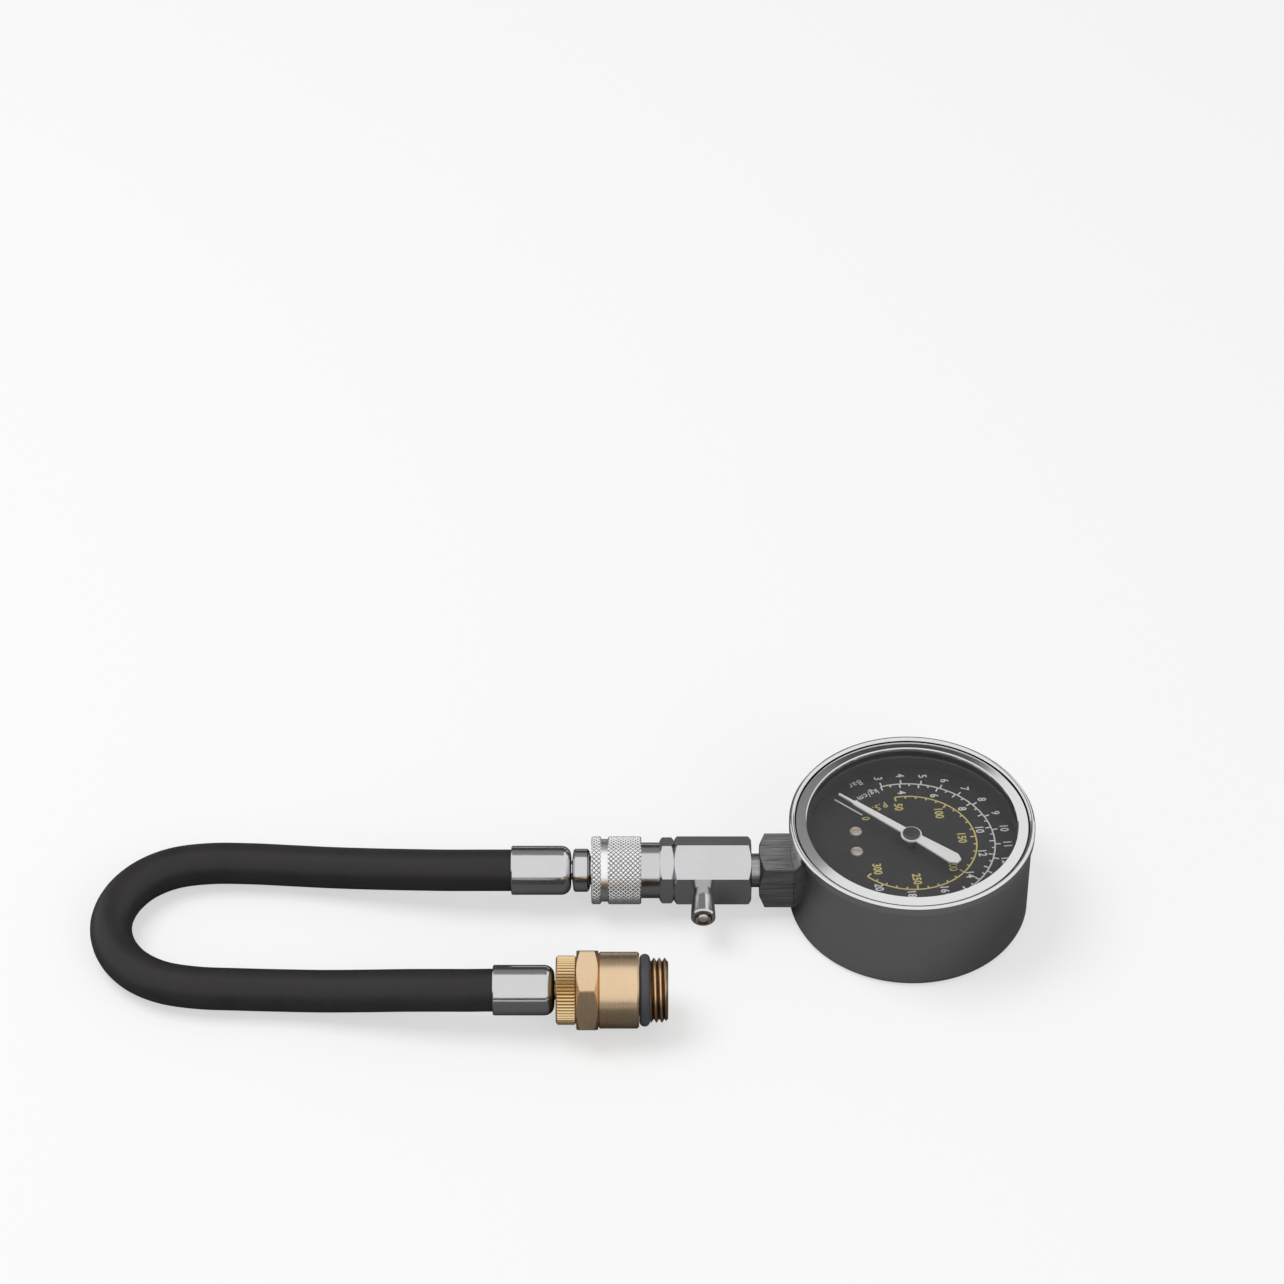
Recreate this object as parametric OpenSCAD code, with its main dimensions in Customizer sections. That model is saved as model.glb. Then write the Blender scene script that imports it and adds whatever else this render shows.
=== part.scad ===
// Compression tester gauge: a dial gauge lying on its back, its square stem, a hexagonal tee with a
// relief valve, a ball-lock quick coupler, and a hose that ends in a threaded brass adapter.
// The origin is the centre of the gauge's back. The stem runs along -X and the dial faces +Z.

/* [Gauge case] */
// Outer diameter of the case wall
case_d = 68.6; // [66:0.2:74]
// Thickness of the case sheet
case_wall = 1; // [0.8:0.1:1.3]
// Height of the case from its back to its mouth
case_h = 29; // [28.5:0.5:32]
// Height of the stem axis above the back
stem_z = 11.7; // [11.2:0.1:12.6]

/* [Bezel and lens] */
// How far the bezel stands out past the case wall
bezel_overhang = 0.7; // [0.4:0.1:1.2]
// Width of the bezel's face, from its rim to its opening
bezel_face_w = 5; // [4:0.1:6]
// Width of the bezel's rolled outer lip
bezel_lip_w = 1.6; // [1.2:0.1:2]
// Thickness of the bezel above the lens
bezel_t = 1.1; // [1:0.1:1.8]
// How deep the bezel's skirt goes into the case
skirt_depth = 2.2; // [1.2:0.1:2.8]
// Thickness of the bezel's skirt
skirt_t = 0.95; // [0.6:0.05:1.2]
// Thickness of the lens
lens_t = 1.2; // [1:0.1:2]
// Thickness of the gasket under the lens
gasket_t = 0.6; // [0.4:0.1:1.2]

/* [Dial and pointer] */
// Depth of the dial's face below the case mouth
dial_drop = 6; // [5.4:0.1:6.4]
// Thickness of the dial plate
dial_t = 0.8; // [0.5:0.1:1]
// Distance of the dial screws from the dial's centre
dial_screw_r = 15.6; // [15:0.1:17]
// Distance between the two dial screws
dial_screw_pitch = 8.1; // [7:0.1:9]
// Diameter of a dial screw's head
dial_screw_d = 3.5; // [3:0.1:4]
// Angle of the zero mark from the top of the dial, anticlockwise
zero_angle = 140.5; // [130:0.5:150]
// Length of the pointer from the centre to its tip
pointer_len = 26; // [22:0.5:29]
// Length of the pointer's tail
pointer_tail = 17; // [12:0.5:20]
// Height of the pointer above the dial's face
pointer_lift = 2.9; // [2.2:0.1:3.2]
// Thickness of the pointer
pointer_t = 0.5; // [0.3:0.1:0.6]
// Diameter of the pointer's hub disc
hub_d = 6; // [5:0.1:8]
// Diameter of the cap on the pointer's hub
cap_d = 5; // [4:0.1:5.4]

/* [Movement] */
// Module of the gear teeth
tooth_module = 0.27; // [0.25:0.01:0.28]
// Teeth on the pinion
pinion_teeth = 10; // [10:1:12]
// Turns of the pinion for one turn of the sector
gear_ratio = 8; // [7:1:8]
// Turn of the sector from zero to full scale
sector_swing = 34.125; // [30:0.125:36]
// Distance from the sector's pivot to the link
sector_tail = 7; // [6:0.1:7.4]
// Thickness of the movement plates
plate_t = 1.2; // [0.8:0.1:1.4]
// Clear height between the movement plates
plate_gap = 5.8; // [5.6:0.1:6.4]
// Thickness of the sector and of the link
sheet_t = 0.9; // [0.7:0.1:1]
// Turns of the hairspring
hairspring_turns = 5; // [3:1:6]

/* [Pressure tube] */
// Mean radius of the curved tube
tube_r = 24; // [23.6:0.1:26]
// Height of the tube's flattened section
tube_h = 8; // [6.6:0.2:9]
// Width of the tube's flattened section
tube_w = 2.8; // [2.4:0.1:3.2]
// Wall of the tube
tube_wall = 0.4; // [0.3:0.05:0.6]
// Angle at which the tube ends, from the top of the dial
tube_end_angle = -44; // [-46:1:-36]

/* [Stem and tee] */
// Width of the square stem
stem_w = 15; // [14:0.2:16]
// Length of the square stem outside the case
stem_len = 8.8; // [8:0.2:14]
// Diameter of the pipe threads
pipe_d = 9.7; // [9:0.1:10.6]
// Bare neck between the stem and the tee
stem_neck_len = 2.4; // [1.6:0.2:4]
// Bore of the gas way
gas_d = 3.2; // [2.4:0.2:3.6]
// Width of the tee body across its flats
tee_af = 17.5; // [16.5:0.5:19]
// Length of the tee body
tee_len = 22.1; // [20:0.1:28]
// Distance of the relief tube from the coupler end of the tee
relief_from_end = 8.2; // [8:0.1:9]

/* [Relief valve] */
// Outer diameter of the relief tube at its mouth
relief_d = 7; // [6.6:0.1:8]
// Outer diameter of the relief tube where it leaves the tee
relief_root_d = 5.4; // [5.2:0.1:6]
// Length of the relief tube outside the tee
relief_len = 10.4; // [9:0.2:14]
// Bore of the relief tube's mouth
relief_bore = 5; // [4.6:0.1:5.2]
// Diameter of the push pin
pin_d = 3; // [2.6:0.1:3.6]
// How far the pin stands out of the mouth
pin_proud = 0.6; // [0.2:0.1:1.6]
// Travel of the push pin
pin_travel = 1.5; // [1:0.1:1.8]

/* [Quick coupler] */
// Width of the coupler's hex collar across its flats
collar_af = 17; // [16:0.5:19]
// Length of the hex collar
collar_len = 4.2; // [3.6:0.1:7]
// Diameter of the coupler's neck
coupler_neck_d = 16; // [15.4:0.1:16.4]
// Length of neck between the collar and the sleeve
coupler_neck_len = 5.2; // [4:0.1:8]
// Outer diameter of the sleeve
sleeve_d = 19.5; // [19:0.1:22]
// Length of the sleeve
sleeve_len = 14.3; // [13.6:0.1:17]
// Length of the sleeve's front ring
sleeve_ring_len = 2.8; // [2:0.1:3.2]
// Width of the smooth groove behind the front ring
sleeve_groove_w = 1.9; // [1.2:0.1:2.4]
// Diameter at the bottom of that groove
sleeve_groove_d = 18; // [17.8:0.1:18.4]
// Travel of the sleeve
sleeve_travel = 3.5; // [3:0.1:3.6]
// Diameter of the barrel under the sleeve
barrel_d = 13; // [12.8:0.1:13.4]
// Diameter of the plug in the barrel
plug_d = 8; // [7.8:0.1:8.2]
// Diameter of a lock ball
ball_d = 2.8; // [2.6:0.1:2.9]
// Number of lock balls
ball_count = 6; // [4:1:6]
// Wire of the sleeve spring
sleeve_wire = 0.8; // [0.5:0.1:0.9]

/* [Hose and ferrules] */
// Outer diameter of the hose
hose_d = 12; // [11.6:0.1:12.4]
// Diameter of the tails that the hose is pushed over
tail_d = 6; // [5:0.1:6.6]
// Wall of a ferrule
ferrule_wall = 1; // [0.5:0.1:1.4]
// Length of a ferrule
ferrule_len = 17.2; // [14:0.2:17.4]
// Radius of a ferrule's rounded end
ferrule_round = 2.8; // [1:0.1:3.2]
// Diameter of the plug's outer collar
plug_collar_d = 12.4; // [11:0.1:14]
// Length of the plug's outer collar
plug_collar_len = 4.6; // [3:0.1:8]

/* [Hose end and adapter] */
// Diameter of the knurled collar
knurl_d = 19.3; // [17:0.1:24]
// Length of the knurled collar
knurl_len = 5.7; // [4:0.1:9]
// Teeth round the knurled collar
knurl_teeth = 60; // [36:1:72]
// Diameter of the thread inside the adapter
inner_thread_d = 13.9; // [13:0.1:15]
// Length of the thread inside the adapter
inner_thread_len = 15.4; // [13:0.1:16]
// Width of the adapter's hexagon across its flats
adapter_af = 22; // [22:0.5:24]
// Length of the adapter's hexagon
adapter_hex_len = 6.1; // [4:0.1:10]
// Diameter of the adapter's round body
adapter_d = 21.4; // [20:0.1:22]
// Length of the adapter's round body
adapter_body_len = 11.4; // [11:0.1:16]
// Thickness of the O-ring
o_ring_t = 3; // [2.4:0.1:3.4]
// Outer diameter of the adapter's thread
thread_d = 18; // [16:0.1:19]
// Length of the adapter's thread
thread_len = 5; // [4:0.1:14]
// Bore of the adapter's mouth
mouth_d = 8; // [7:0.1:9]
// Diameter of the check core
core_d = 5.2; // [4.8:0.1:6]
// Length of the check core
core_len = 7.5; // [6.5:0.1:8]
// Travel of the check core's pin
core_travel = 1.2; // [0.8:0.1:1.4]

/* [Fits] */
// Clearance round pivots and sliding pieces
run_gap = 0.05; // [0.02:0.01:0.08]
// Clearance round seated pieces
seat_gap = 0.05; // [0.02:0.01:0.08]

/* [Hidden] */
$fn = 64;
over = 1;

// Radii of the case, bezel and lens, from the wall inwards
case_r = case_d / 2;
case_in_r = case_r - case_wall;
bezel_r = case_r + bezel_overhang;
window_r = bezel_r - bezel_face_w;
skirt_r = case_in_r - seat_gap;
lens_r = skirt_r - skirt_t - seat_gap;
spacer_in_r = lens_r - 1.6;
gasket_in_r = lens_r - 1.8;

// Levels from the back to the bezel's top
gasket_top = case_h + gasket_t;
lens_top = gasket_top + lens_t;
bezel_top = lens_top + bezel_t;
dial_top = case_h - dial_drop;
dial_low = dial_top - dial_t;
pointer_z = dial_top + pointer_lift;
cap_h = 0.7;

// Places of the two dial screws, as the socket's bosses carry them
dial_screw_at = [for (side = [-1, 1]) [-dial_screw_r, side * dial_screw_pitch / 2]];
dial_shank_r = 1;
boss_r = 2.5;

// Socket block inside the case, with a step that carries the movement
block_end_x = -(case_in_r - 2.3);
block_top = stem_z + tube_h / 2 + 1;
block_w = stem_w - 1;
step_x = -(dial_screw_r - boss_r - 0.6);
step_end_x = step_x + 7;
step_z = stem_z - 2.5;
spigot_r = 6;
case_screw_at = [for (side = [-1, 1]) [block_end_x + 8.5, side * 4]];
case_screw_r = 1.4;
case_screw_head_r = 2.6;
case_screw_slope = (case_screw_head_r - case_screw_r) / case_wall;
case_screw_len = 6;

// Movement plates and the gears between them
lower_top = step_z + plate_t;
upper_low = lower_top + plate_gap;
upper_top = upper_low + plate_t;
sector_z = lower_top + 1.3;
link_z = sector_z + sheet_t + 0.8;
sector_teeth = pinion_teeth * gear_ratio;
pinion_r = tooth_module * pinion_teeth / 2;
sector_r = tooth_module * sector_teeth / 2;
sector_at = [0, -(pinion_r + sector_r)];
pressure_angle = 25;
tooth_play = 0.03;
tooth_top = 0.8 * tooth_module;
tooth_root = 1.12 * tooth_module;
sector_margin = 7;
pivot_r = 0.55;
sector_pivot_r = 0.8;
arbor_r = 0.9;
rivet_r = 0.6;
link_w = 3.6;
stud_r = 0.4;
tail_angle = 270 - sector_swing / 2;
tail_at = sector_at + sector_tail * [cos(tail_angle), sin(tail_angle)];
link_len = 11;
link_end = tail_at + [link_len, 0];
link_travel = 2 * sector_tail * sin(sector_swing / 2);
link_dip = sector_tail * (1 - cos(sector_swing / 2));
plate_x = -step_x - 4;
plate_y = [sector_at.y - 3.6, 6.5];
plate_round = 2;
pillar_r = 1.3;
pillar_at = [for (side = [-1, 1], y = [plate_y[0] + 2.3, plate_y[1] - 2.5]) [side * (plate_x - 2), y]];
movement_screw_r = 0.7;
movement_head_r = 1.5;
movement_head_h = 0.9;
movement_screw_len = 2.2;
lug_screw_at = [for (side = [-1, 1]) [step_x + 3, side * 3.8]];
hairspring_z = link_z + sheet_t + 0.3;
hairspring_h = 1;
hairspring_in_r = 1.9;
hairspring_out_r = 4.4;
hairspring_t = 0.16;
collet_r = 1.6;

// Pressure tube: from its slot in the socket block, clockwise to its tip
tube_root_angle = 180 - asin((block_w / 2 - 2.8) / tube_r);
tip_angle = 3;
tip_lug_t = 0.7;
tip_lug_z = link_z - 0.3 - tip_lug_t;

// Distances along the stem axis from the dial's centre, towards the hose
stem_end = case_r + stem_len;
tee_start = stem_end + stem_neck_len;
tee_end = tee_start + tee_len;
relief_s = tee_end - relief_from_end;
relief_shank_r = relief_root_d / 2 - 0.25;
stem_thread_len = tee_len - relief_from_end - relief_shank_r - 1.8;
coupler_thread_len = relief_from_end - relief_shank_r - 1.1;
collar_end = tee_end + collar_len;
sleeve_start = collar_end + coupler_neck_len;
sleeve_end = sleeve_start + sleeve_len;
barrel_start = sleeve_start + 0.1;
barrel_end = sleeve_end - 0.2;
plug_collar_start = sleeve_end + 0.6;
plug_collar_end = plug_collar_start + plug_collar_len;
upper_ferrule_start = plug_collar_end + 0.6;
upper_ferrule_end = upper_ferrule_start + ferrule_len;

// Ball lock: the balls sit in the plug's groove and under the sleeve's land
ball_r = ball_d / 2;
barrel_r = barrel_d / 2;
land_r = barrel_r + 2 * run_gap;
ball_centre_r = land_r - run_gap - ball_r;
snap_s = sleeve_end - 4.05;
snap_t = 0.8;
snap_out_r = barrel_r + 1.1;
snap_in_r = barrel_r - 0.6;
land_end = snap_s - 0.15;
land_start = land_end - sleeve_travel;
ball_s = land_end - ball_r - 0.35;
chamber_r = coupler_neck_d / 2 + 0.2;
bore_r = plug_d / 2 + run_gap;
bore_start = barrel_start + 0.7;
plug_nose = bore_start + 0.4;
seal_s = bore_start + 2;
seal_t = 1.2;

// Relief valve: distances out from the stem axis, towards -Y
facet_y = tee_af / 2;
relief_mouth = facet_y + relief_len;
relief_flare = facet_y + 0.35 * relief_len;
throat_in = facet_y + 1.3;
throat_out = throat_in + 1.2;
throat_r = 0.9;
relief_cavity_r = 2;
relief_foot = 3;
pin_stem_r = throat_r - 0.2;
pin_flange_r = relief_bore / 2 - 0.3;
pin_tip = relief_mouth + pin_proud;
pin_flange_out = relief_mouth - 2.7;
pin_flange_t = 0.8;
poppet_r = 1.6;
poppet_t = 1;
relief_seal_t = 0.7;
poppet_in = throat_in - relief_seal_t - poppet_t;
relief_wire = 0.35;

// Hose and tails
hose_r = hose_d / 2;
ferrule_in_r = hose_r + seat_gap;
ferrule_r = ferrule_in_r + ferrule_wall;
tail_r = tail_d / 2;
tail_barb = 0.35;
ferrule_floor = 1;
tail_len = ferrule_len - 2.4;

// Hose end: distances along +X from the lower ferrule's open end
corner_tilt = 16;
end_z = adapter_af / sqrt(3) * cos(corner_tilt);
end_y = -47.5;
end_x = -118.4;
knurl_start = ferrule_len + 0.4;
adapter_start = knurl_start + knurl_len;
adapter_body_start = adapter_start + adapter_hex_len;
groove_start = adapter_body_start + adapter_body_len;
thread_start = groove_start + o_ring_t + 0.1;
adapter_end = thread_start + thread_len;
thread_root_r = thread_d / 2 - 1.9;
spigot_end = adapter_start + inner_thread_len;
inner_thread_r = inner_thread_d / 2;
core_r = core_d / 2;
core_out = spigot_end - 0.5;
core_in = core_out - core_len;
core_pocket = core_in - 3;
core_chamber_r = core_r - 0.75;
core_chamber_in = core_in + 2.8;
core_pin_r = 0.65;
core_head_r = 1.4;
core_seal_t = 0.6;
core_head_t = 0.9;
core_flange_t = 0.6;
core_flange_out = core_out + 0.2;
core_pin_end = spigot_end + 1.6;
core_wire = 0.3;

// Route of the hose's centre line, from inside the upper ferrule to inside the lower one
route = [
    [-(upper_ferrule_start + ferrule_floor + 0.1), 0, stem_z], [-116, 0, stem_z], [-124, 0.1, 11.6],
    [-133, 0.7, 11], [-143, 1.9, 10], [-154, 3.6, 8.6], [-166, 5.5, 7.2], [-178, 7.2, 6.3],
    [-190, 8.2, 6.1], [-202, 8.3, 6.05], [-212.5, 6.3, 6.05], [-220.8, 1.1, 6.05], [-226.3, -6.8, 6.05],
    [-228.3, -16.1, 6.05], [-226.3, -25.4, 6.05], [-220.8, -33.3, 6.05], [-212.5, -38.5, 6.05],
    [-202, -40.8, 6.05], [-190, -41.5, 6.1], [-178, -42.2, 6.4], [-166, -43.4, 7.4], [-154, -44.8, 9],
    [-143, -46.1, 10.6], [-133, -47.1, 11.7], [-125, end_y, end_z - 0.1], [-118, end_y, end_z],
    [end_x + ferrule_len - ferrule_floor - 0.1, end_y, end_z]
];
hose_sides = 12;

// Pairs of triangles that wrap a row of rings of points, with a fan over each end
function wrap_faces(rings, sides) = concat(
    [for (k = [1 : sides - 2]) [0, k + 1, k]],
    [for (i = [0 : rings - 2], k = [0 : sides - 1], half = [0, 1])
        let (a = i * sides + k, b = i * sides + (k + 1) % sides)
        half == 0 ? [a, b, b + sides] : [a, b + sides, a + sides]],
    [for (k = [1 : sides - 2]) (rings - 1) * sides * [1, 1, 1] + [0, k, k + 1]]
);

function unit(v) = v / norm(v);

// Direction of a route at one of its points
function heading(path, i) = unit(path[min(i + 1, len(path) - 1)] - path[max(i - 1, 0)]);

function ring_points(centre, along, r, sides) =
    let (side = unit(cross(along, [0, 0, 1])), up = cross(side, along))
    [for (k = [0 : sides - 1]) centre + r * (cos(360 * k / sides) * side + sin(360 * k / sides) * up)];

// Half angle of an involute tooth at radius r, for a tooth of half angle half_pitch at the pitch circle
function involute(angle) = tan(angle) * 180 / PI - angle;
function tooth_half_angle(r, pitch_r, half_pitch) =
    let (base_r = pitch_r * cos(pressure_angle))
    half_pitch + involute(pressure_angle) - involute(acos(min(1, base_r / r)));

// Outline of one tooth, clockwise, as points on its two flanks from root to top and back
function tooth_points(pitch_r, count, middle) =
    let (
        root_r = pitch_r - tooth_root,
        top_r = pitch_r + tooth_top,
        base_r = pitch_r * cos(pressure_angle),
        half = 90 / count - tooth_play / 2 / pitch_r * 180 / PI,
        foot_r = max(root_r, base_r),
        steps = 4,
        flank = [for (i = [0 : steps]) foot_r + (top_r - foot_r) * i / steps],
        root_half = tooth_half_angle(foot_r, pitch_r, half)
    )
    concat(
        [root_r * [cos(middle + root_half), sin(middle + root_half)]],
        [for (r = flank) let (a = middle + tooth_half_angle(r, pitch_r, half)) r * [cos(a), sin(a)]],
        [for (i = [steps : -1 : 0])
            let (r = flank[i], a = middle - tooth_half_angle(r, pitch_r, half)) r * [cos(a), sin(a)]],
        [root_r * [cos(middle - root_half), sin(middle - root_half)]]
    );

// Frames for turned pieces: local +Z runs away from the dial along the stem, out of the tee,
// or along the hose end
module on_stem(s) translate([-s, 0, stem_z]) rotate([0, -90, 0]) children();
module on_relief() translate([-relief_s, 0, stem_z]) rotate([90, 0, 0]) children();
module on_hose_end() translate([end_x, end_y, end_z]) rotate([0, 90, 0]) children();

module turned(profile) rotate_extrude() polygon(profile);

module tube_ring(out_r, in_r, z0, z1) turned([[in_r, z0], [out_r, z0], [out_r, z1], [in_r, z1]]);

// Hexagonal bar from z0 to z1 with its corners turned off at both ends
module hex_bar(af, z0, z1) {
    corner_r = af / sqrt(3) + 0.2;
    face_r = af / 2 * 0.985;
    bevel = (corner_r - face_r) * tan(30);
    intersection() {
        translate([0, 0, z0]) linear_extrude(z1 - z0) circle(r = af / sqrt(3), $fn = 6);
        turned([[0, z0], [face_r, z0], [corner_r, z0 + bevel], [corner_r, z1 - bevel], [face_r, z1],
            [0, z1]]);
    }
}

// Round-ended bar between two points in plan
module bar_outline(a, b, w) {
    d = b - a;
    for (p = [a, b]) translate(p) circle(d = w);
    translate(a) rotate(atan2(d.y, d.x)) translate([0, -w / 2]) square([norm(d), w]);
}

module rounded_outline(x0, y0, x1, y1, r) {
    for (x = [x0 + r, x1 - r], y = [y0 + r, y1 - r]) translate([x, y]) circle(r);
    translate([x0 + r, y0]) square([x1 - x0 - 2 * r, y1 - y0]);
    translate([x0, y0 + r]) square([x1 - x0, y1 - y0 - 2 * r]);
}

// Wire spring about +Z from z0 to z1
module coil_spring(mean_r, wire, z0, z1, turns) {
    sides = 6;
    rings = turns * 14 + 1;
    rise = z1 - z0 - wire;
    points = [for (i = [0 : rings - 1], k = [0 : sides - 1])
        let (
            t = i / (rings - 1),
            out = mean_r + wire / 2 * cos(360 * k / sides),
            turn = 360 * turns * t
        )
        [out * cos(turn), out * sin(turn), z0 + wire / 2 + rise * t + wire / 2 * sin(360 * k / sides)]];
    polyhedron(points, wrap_faces(rings, sides));
}

// Slotted pan-head screw, its head seated at z = 0 and its shank below
module slotted_screw(head_r, head_h, shank_r, shank_len) {
    difference() {
        turned([[0, -shank_len], [shank_r, -shank_len], [shank_r, 0], [head_r, 0],
            [head_r, head_h * 0.6], [head_r * 0.8, head_h], [0, head_h]]);
        translate([-head_r - over, -head_r * 0.14, head_h * 0.55])
            cube([2 * (head_r + over), head_r * 0.28, head_h]);
    }
}

// Drawn steel cup with a hole for the stem and two countersunk holes in its back
module gauge_case() {
    corner = 1.5;
    color("silver") difference() {
        turned([[0, 0], [case_r - corner, 0], [case_r - corner * 0.3, corner * 0.3], [case_r, corner],
            [case_r, case_h], [case_in_r, case_h], [case_in_r, case_wall + corner * 0.6],
            [case_in_r - corner * 0.6, case_wall], [0, case_wall]]);
        on_stem(case_in_r - 3) cylinder(r = spigot_r + seat_gap, h = 3 + case_wall + over);
        for (p = case_screw_at) translate(p) {
            translate([0, 0, -over]) cylinder(r = case_screw_r + seat_gap, h = case_wall + 2 * over);
            turned([[0, -over], [case_screw_head_r + seat_gap + over * case_screw_slope, -over],
                [case_screw_r + seat_gap, case_wall], [0, case_wall]]);
        }
    }
}

// Pressed ring: rolled lip, thin groove, a face sunk below the lip, and a skirt inside the case
module bezel_ring() {
    lip_r = bezel_lip_w / 2;
    lip_z = bezel_top - lip_r;
    groove_w = 0.4;
    groove_depth = 0.3;
    face_out_r = bezel_r - bezel_lip_w - groove_w;
    face_low = bezel_top - 0.85;
    face_high = face_low + 0.55;
    edge = 0.25;
    lip = [for (i = [0 : 8]) [bezel_r - lip_r + lip_r * cos(22.5 * i), lip_z + lip_r * sin(22.5 * i)]];
    color("gainsboro") turned(concat(
        [[skirt_r, case_h], [bezel_r, case_h]],
        lip,
        [[bezel_r - bezel_lip_w, face_low - groove_depth], [face_out_r, face_low - groove_depth],
            [face_out_r, face_low], [window_r + edge, face_high], [window_r, face_high - edge],
            [window_r, lens_top], [skirt_r - skirt_t, lens_top],
            [skirt_r - skirt_t, case_h - skirt_depth], [skirt_r, case_h - skirt_depth]]
    ));
}

module lens() color("lightcyan", 0.4) translate([0, 0, gasket_top]) cylinder(r = lens_r, h = lens_t);

module lens_gasket() color("black") tube_ring(lens_r, gasket_in_r, case_h, gasket_top);

module spacer_ring() color("black") tube_ring(lens_r, spacer_in_r, dial_top, case_h);

module dial_plate() {
    color("dimgray") difference() {
        translate([0, 0, dial_low]) cylinder(r = lens_r, h = dial_t);
        translate([0, 0, dial_low - over]) cylinder(r = 2.2, h = dial_t + 2 * over);
        for (p = dial_screw_at)
            translate([p.x, p.y, dial_low - over])
                cylinder(r = dial_shank_r + seat_gap, h = dial_t + 2 * over);
    }
}

module dial_screws() {
    color("rosybrown") for (p = dial_screw_at) translate([p.x, p.y, dial_top])
        slotted_screw(dial_screw_d / 2, 0.9, dial_shank_r, dial_t + 3.5);
}

// Countersunk screws that hold the socket block to the back of the case
module case_screws() {
    sink = 0.1;
    color("silver") for (p = case_screw_at) translate(p) difference() {
        turned([[0, sink], [case_screw_head_r - sink * case_screw_slope, sink], [case_screw_r, case_wall],
            [case_screw_r, case_screw_len], [0, case_screw_len]]);
        translate([-case_screw_head_r, -0.35, 0]) cube([2 * case_screw_head_r, 0.7, 0.5]);
    }
}

// Flat white hand: thin tip, tapered body, hub disc and a flared tail
module pointer() {
    body_end = pointer_len * 0.77;
    color("white") translate([0, 0, pointer_z]) rotate(zero_angle) difference() {
        linear_extrude(pointer_t) {
            polygon([[0, -1.2], [body_end, -0.8], [body_end + 1, -0.4], [pointer_len, -0.3],
                [pointer_len, 0.3], [body_end + 1, 0.4], [body_end, 0.8], [0, 1.2]]);
            polygon([[0, 1.3], [-pointer_tail + 2, 2.1], [-pointer_tail, 0.9], [-pointer_tail, -0.9],
                [-pointer_tail + 2, -2.1], [0, -1.3]]);
            circle(d = hub_d);
        }
        translate([0, 0, -over]) cylinder(r = arbor_r + run_gap, h = pointer_t + 2 * over);
    }
}

// Turned cap pressed on the arbor's top, with a bush under the pointer
module pointer_cap() {
    r = cap_d / 2;
    color("darkslategray") translate([0, 0, pointer_z + pointer_t])
        turned([[0, 0.3], [arbor_r + seat_gap, 0.3], [arbor_r + seat_gap, 0], [r, 0], [r, cap_h * 0.5],
            [r * 0.75, cap_h * 0.9], [r * 0.3, cap_h], [0, cap_h]]);
}

// Pinion cut on its arbor, with the hairspring's collet and the pointer's seat
module pinion_arbor() {
    gear_low = sector_z - 0.4;
    gear_high = sector_z + sheet_t + 0.4;
    bush_r = 1.5;
    top = pointer_z + pointer_t + 0.25;
    color("goldenrod") {
        turned([[0, step_z + 0.1], [pivot_r, step_z + 0.1], [pivot_r, lower_top + 0.2],
            [arbor_r, lower_top + 0.2], [arbor_r, hairspring_z], [collet_r, hairspring_z],
            [collet_r, hairspring_z + hairspring_h],
            [arbor_r, hairspring_z + hairspring_h], [arbor_r, dial_top + 0.4], [bush_r, dial_top + 0.4],
            [bush_r, pointer_z], [arbor_r, pointer_z], [arbor_r, top], [0, top]]);
        translate([0, 0, gear_low]) linear_extrude(gear_high - gear_low)
            polygon([for (i = [0 : pinion_teeth - 1])
                each tooth_points(pinion_r, pinion_teeth, 270 - (i + 0.5) * 360 / pinion_teeth)]);
    }
}

// Toothed sector: a rim of teeth, two spokes, a hub and the tail that the link pulls
module sector_gear() {
    pitch = 360 / sector_teeth;
    first = ceil(-sector_margin / pitch);
    last = floor((sector_swing + sector_margin) / pitch);
    rim_in = sector_r - tooth_root - 1.4;
    high = 90 - first * pitch;
    low = 90 - last * pitch;
    tail = tail_at - sector_at;
    color("goldenrod") translate([sector_at.x, sector_at.y, sector_z]) difference() {
        linear_extrude(sheet_t) {
            polygon(concat(
                [for (i = [first : last]) each tooth_points(sector_r, sector_teeth, 90 - i * pitch)],
                [for (i = [0 : 8]) let (a = low - pitch / 2 + (high - low + pitch) * i / 8)
                    rim_in * [cos(a), sin(a)]]
            ));
            for (a = [low + 3, high - 3]) bar_outline([0, 0], (rim_in + 0.6) * [cos(a), sin(a)], 1.6);
            bar_outline([0, 0], tail, 3);
            circle(r = 2.2);
        }
        translate([0, 0, -over]) cylinder(r = sector_pivot_r + seat_gap, h = sheet_t + 2 * over);
        translate([tail.x, tail.y, -over]) cylinder(r = rivet_r + run_gap, h = sheet_t + 2 * over);
    }
}

module sector_arbor() {
    shoulder_r = 1.5;
    color("silver") translate(sector_at)
        turned([[0, step_z + 0.1], [sector_pivot_r, step_z + 0.1], [sector_pivot_r, lower_top + 0.15],
            [shoulder_r, lower_top + 0.15], [shoulder_r, sector_z], [sector_pivot_r, sector_z],
            [sector_pivot_r, upper_top - 0.1], [0, upper_top - 0.1]]);
}

// Flat link from the sector's tail to the tube's tip, with a long slot at the tip's stud
module link() {
    slot_r = stud_r + link_dip + 0.15;
    slot_low = link_end - [link_travel + 0.2, link_dip];
    slot_high = link_end + [0.2, -link_dip];
    color("goldenrod") translate([0, 0, link_z]) difference() {
        linear_extrude(sheet_t) bar_outline(tail_at, link_end + [0.6, 0], link_w);
        translate([tail_at.x, tail_at.y, -over]) cylinder(r = rivet_r + seat_gap, h = sheet_t + 2 * over);
        translate([0, link_dip, -over]) linear_extrude(sheet_t + 2 * over)
            bar_outline(slot_low, slot_high, 2 * slot_r);
    }
}

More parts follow.
